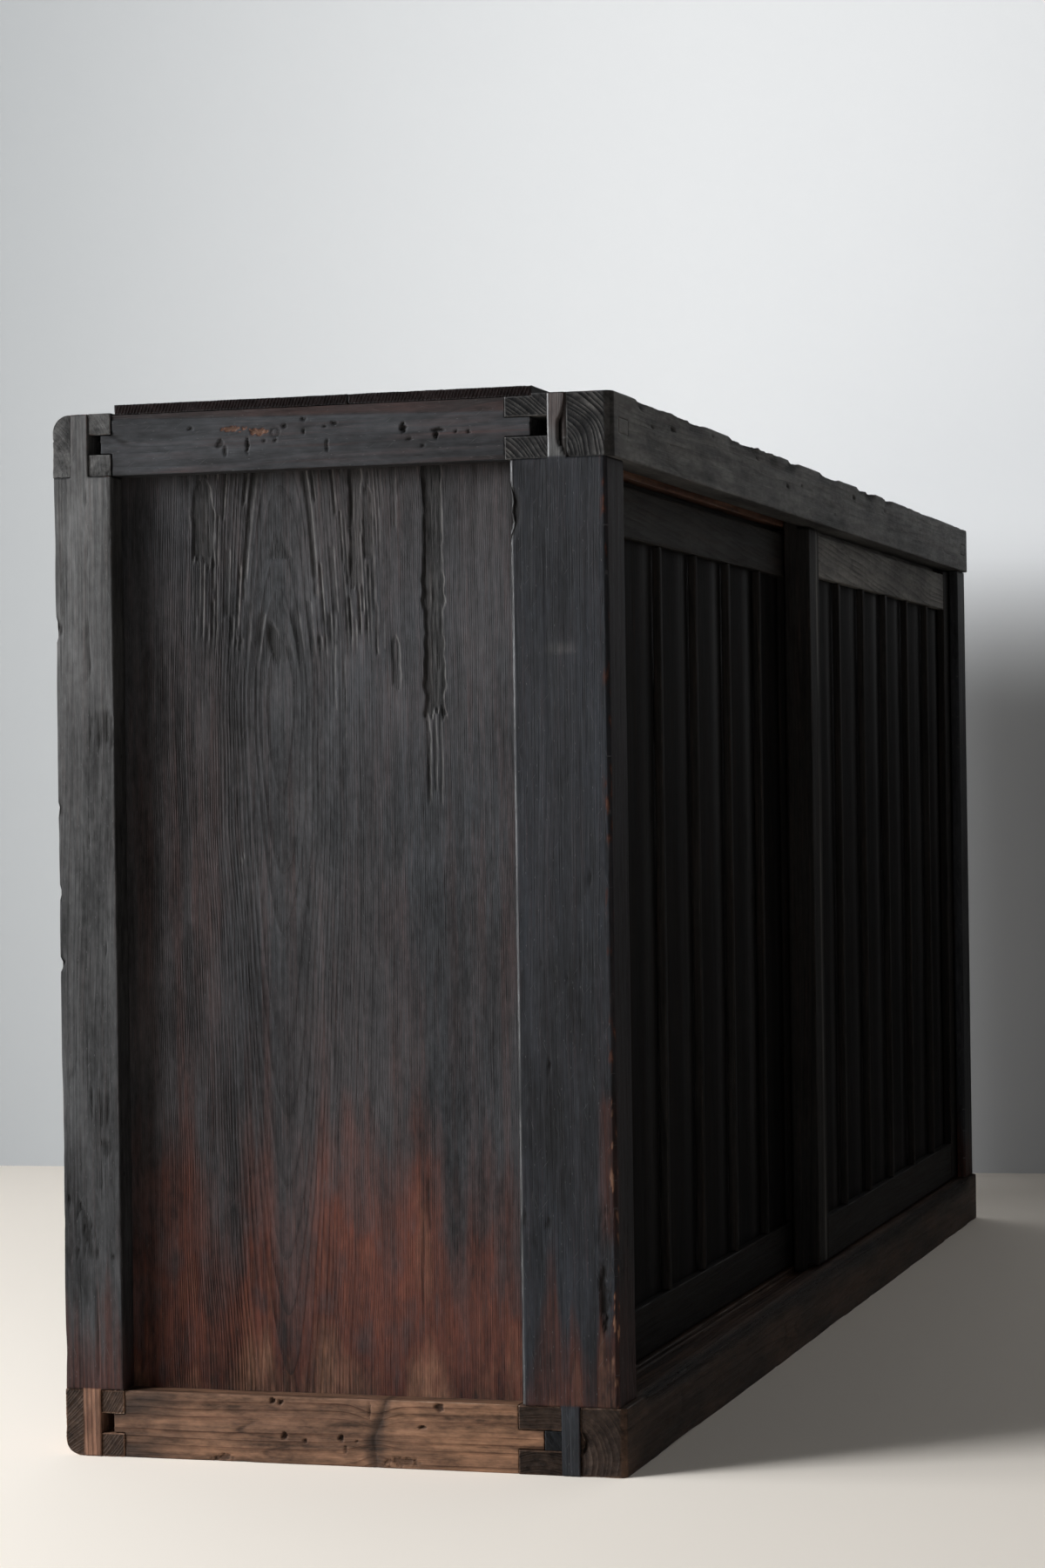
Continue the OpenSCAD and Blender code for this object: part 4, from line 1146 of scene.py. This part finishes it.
# %% Make the timbers
settings = {
    "left_front_post": dict(cell=(1.6, 1.2, 2.0), wide=4.5, corners=post_arrises(0, POST),
                            marks=front_post_marks, brown=front_post_brown, gloss=front_post_gloss,
                            relief=0.06, pale=front_post_pale),
    "left_back_post": dict(cell=(2.0, 1.2, 2.0), wide=4.5, marks=back_post_marks, relief=0.08,
                           brown=back_post_brown, pale=back_post_painted_light),
    "right_front_post": dict(cell=2.0, wide=7, corners=post_arrises(LENGTH, LENGTH - POST),
                             brown=smoke_line(120, 60, 76), pale=0.1, cracked=0.2),
    "right_back_post": dict(cell=2.0, wide=7, brown=smoke_line(120, 60, 78), cracked=0.3),
    "left_top_side_rail": dict(cell=(2.2, 1.1, 0.95), wide=1.1, relief=0.1, marks=top_side_rail_marks,
                               brown=top_side_rail_brown, rings=trunk(1, (-60, 905), 4.2, 6), chew=0.3,
                               pale=0.12, smoke=lambda x, y, z, way: 0.3 * unit(top_band(y, z) / 2 + 0.5)),
    "left_bottom_side_rail": dict(cell=(2.2, 1.1, 0.95), wide=1.1, marks=foot_side_rail_marks,
                                  rings=foot_side_rail_rings, chew=0.5, relief=0.15,
                                  smoke=foot_side_rail_smoke),
    "front_top_rail": dict(cell=(1.6, 1.5, 1.5), wide=6, corners=rail_ends("front_top_rail", 7),
                           marks=head_rail_marks, brown=head_rail_brown, smoke=head_rail_smoke, pale=1.0,
                           chew=0.5, rings=front_rail_rings((63, 854), (162, 787), 3.8, 3.4, 21)),
    "front_bottom_rail": dict(cell=(1.6, 1.5, 1.5), wide=6, corners=rail_ends("front_bottom_rail", 5),
                              marks=sill_marks, chew=0.8, smoke=sill_smoke,
                              rings=front_rail_rings((62, 10), (75, -60), 4.6, 3.2, 23)),
    "back_top_rail": dict(cell=(1.6, 1.5, 1.5), wide=7, corners=knocked_corner(HEIGHT, 17, 44),
                          end_share=0.35, pale=lambda x, y, z, way: 0.9 * end_face(way),
                          rings=trunk(0, (538, 852), 3.0, 25, 1.5), cracked=0.2),
    "back_bottom_rail": dict(cell=(1.6, 1.5, 1.5), wide=7, corners=knocked_corner(0, 18, 45),
                             rings=trunk(0, (560, 100), 2.6, 27, 1.5), chew=1.2),
    "joint_wedge": dict(cell=1.2, wide=2.0, chew=0.1),
    "rail_pegs": dict(cell=1.5, wide=3.0, chew=0.1, pale=0.9),
}
for door, pale_rail in (("left_door", 0.13), ("right_door", 1.0)):
    board_marks, board_sheen = cupped(door)
    for part in ("left_stile", "right_stile", "bottom_rail"):
        settings[f"{door}_{part}"] = dict(cell=2.2, wide=8, chew=0.4)
    settings[f"{door}_top_rail"] = dict(cell=2.0, wide=6, chew=0.4, pale=pale_rail, rings=sloping_lines,
                                        relief=0.25)
    settings[f"{door}_boards"] = dict(along=2, cell=(5, 2, 5), wide=12, chew=0.0, relief=0.1,
                                      marks=board_marks, gloss=board_sheen)
    for n in range(1, 6):
        settings[f"{door}_rib_{n}"] = dict(cell=1.6, wide=10, rounds=3, chew=0.15, relief=0.1, pale=rib_sides_painted_light)
settings["right_door_left_stile"]["pale"] = stile_arris_and_painted_light("right_door_left_stile")
for node in ("front_top_board", "back_top_board"):
    settings[node] = dict(cell=(2.0, 1.6, 1.6), wide=10, rings=thin_lines(3.1, 0.4, 31), chew=0.5,
                          relief=0.35, cracked=0.15)
for node in nodes:
    if any(word in node for word in ("bearer", "shelf", "floor_board", "stud", "back_board")):
        settings[node] = dict(cell=6.0, wide=30.0, chew=0.1, relief=0.1)

MANY_FACES = 60000
faces = 0
for node in nodes:
    if "side_panel" in node:
        continue
    piece = worn_timber(node, **settings.get(node, dict(cell=2.0, wide=8)))
    faces += len(piece.data.polygons)
    if len(piece.data.polygons) > MANY_FACES:
        print(node, len(piece.data.polygons), "faces")
print(faces, "faces in", len(nodes), "pieces")

# %% [markdown]
# ## Floor, wall and light
# The chest stands on a pale floor before a pale wall, beside a wide window on the left. The window is two
# area lamps, one of its own size and one wider for the sky, and they light the left end at a low angle,
# which is what makes the relief show. A third lamp and the world fill the rest a little. The wall's colour
# carries painted shade: it darkens towards its +Y end, on the window's side, and a painted shadow of the
# chest darkens it low down towards -Y. It can be seen from the front only, so it doesn't hide the chest
# from behind.


# %% Floor, wall and light
def stage_plane(name, corners, colour):
    """A plain plane, and its node tree for more to be added."""
    mesh = bpy.data.meshes.new(name)
    mesh.from_pydata(corners, [], [(0, 1, 2, 3)])
    plane = bpy.data.objects.new(name, mesh)
    scene.collection.objects.link(plane)
    material = bpy.data.materials.new(name)
    material.use_nodes = True
    surface = material.node_tree.nodes["Principled BSDF"]
    surface.inputs["Base Color"].default_value = (*colour, 1)
    surface.inputs["Roughness"].default_value = 0.85
    mesh.materials.append(material)
    return material.node_tree


def area_lamp(name, size, watts, colour, place, aim):
    """A rectangular lamp that faces a point."""
    lamp = bpy.data.lights.new(name, "AREA")
    lamp.shape = "RECTANGLE"
    lamp.size, lamp.size_y = size
    lamp.energy = watts
    lamp.color = colour
    holder = bpy.data.objects.new(name, lamp)
    holder.location = place
    holder.rotation_euler = (Vector(aim) - holder.location).to_track_quat("-Z", "Y").to_euler()
    scene.collection.objects.link(holder)


WALL_MIDDLE, WALL_HALF = Vector((1.42, 0, 0)), 7 * Vector((0.0892, -0.996, 0))
WALL_TOP = Vector((0, 0, 6))
FLOOR_TONE, WALL_TONE, WALL_PAINTED_SHADE_TONE = (0.95, 0.865, 0.765), (0.88, 0.885, 0.89), (0.26, 0.27, 0.275)
DAYLIGHT, LEFT_END = (0.94, 0.97, 1.0), (-0.6, -0.1, 0.45)

stage_plane("floor", [(-14, -14, 0), (14, -14, 0), (14, 14, 0), (-14, 14, 0)], FLOOR_TONE)
ends = [WALL_MIDDLE - WALL_HALF, WALL_MIDDLE + WALL_HALF]
tree = stage_plane("wall", [*ends, ends[1] + WALL_TOP, ends[0] + WALL_TOP], WALL_TONE)
surface = tree.nodes["Principled BSDF"]
place = tree.nodes.new("ShaderNodeSeparateXYZ")
tree.links.new(put(tree, "TexCoord", 3), place.inputs[0])
x, y, z = place.outputs
# Painted shade: the wall's colour darkens towards its +Y end, on the window's side.
tone = blended(tree, between(tree, y, -0.4, 1.9, kind="SMOOTHSTEP"), WALL_TONE, WALL_PAINTED_SHADE_TONE)
# Painted shadow of the chest: low on the wall and towards -Y, the colour is multiplied by 0.4.
low = between(tree, z, 0.68, 0.98, 1, 0, "SMOOTHSTEP")
beside = between(tree, y, -0.1, 0.3, 1, 0, "SMOOTHSTEP")
tone = blended(tree, product(tree, low, beside), tone, (0.4, 0.4, 0.4), "MULTIPLY")
tree.links.new(tone, surface.inputs["Base Color"])
clear = put(tree, "BsdfTransparent")
mixed = put(tree, "MixShader", ins={0: put(tree, "NewGeometry", 6), 1: surface.outputs[0], 2: clear})
tree.links.new(mixed, tree.nodes["Material Output"].inputs["Surface"])

area_lamp("window", (1.3, 1.7), 165, DAYLIGHT, (-3.1, 2.9, 1.8), LEFT_END)
area_lamp("sky", (3.1, 1.7), 130, DAYLIGHT, (-2.4, 3.0, 1.8), LEFT_END)
area_lamp("fill", (2.0, 2.0), 28, (1, 1, 1), (-5.0, -2.2, 0.6), (0, -0.2, 0.45))

scene.world = bpy.data.worlds.new("even light")
scene.world.use_nodes = True
background = scene.world.node_tree.nodes["Background"].inputs
background["Color"].default_value = (0.95, 0.97, 1.0, 1)
background["Strength"].default_value = 0.034
print("light ready")
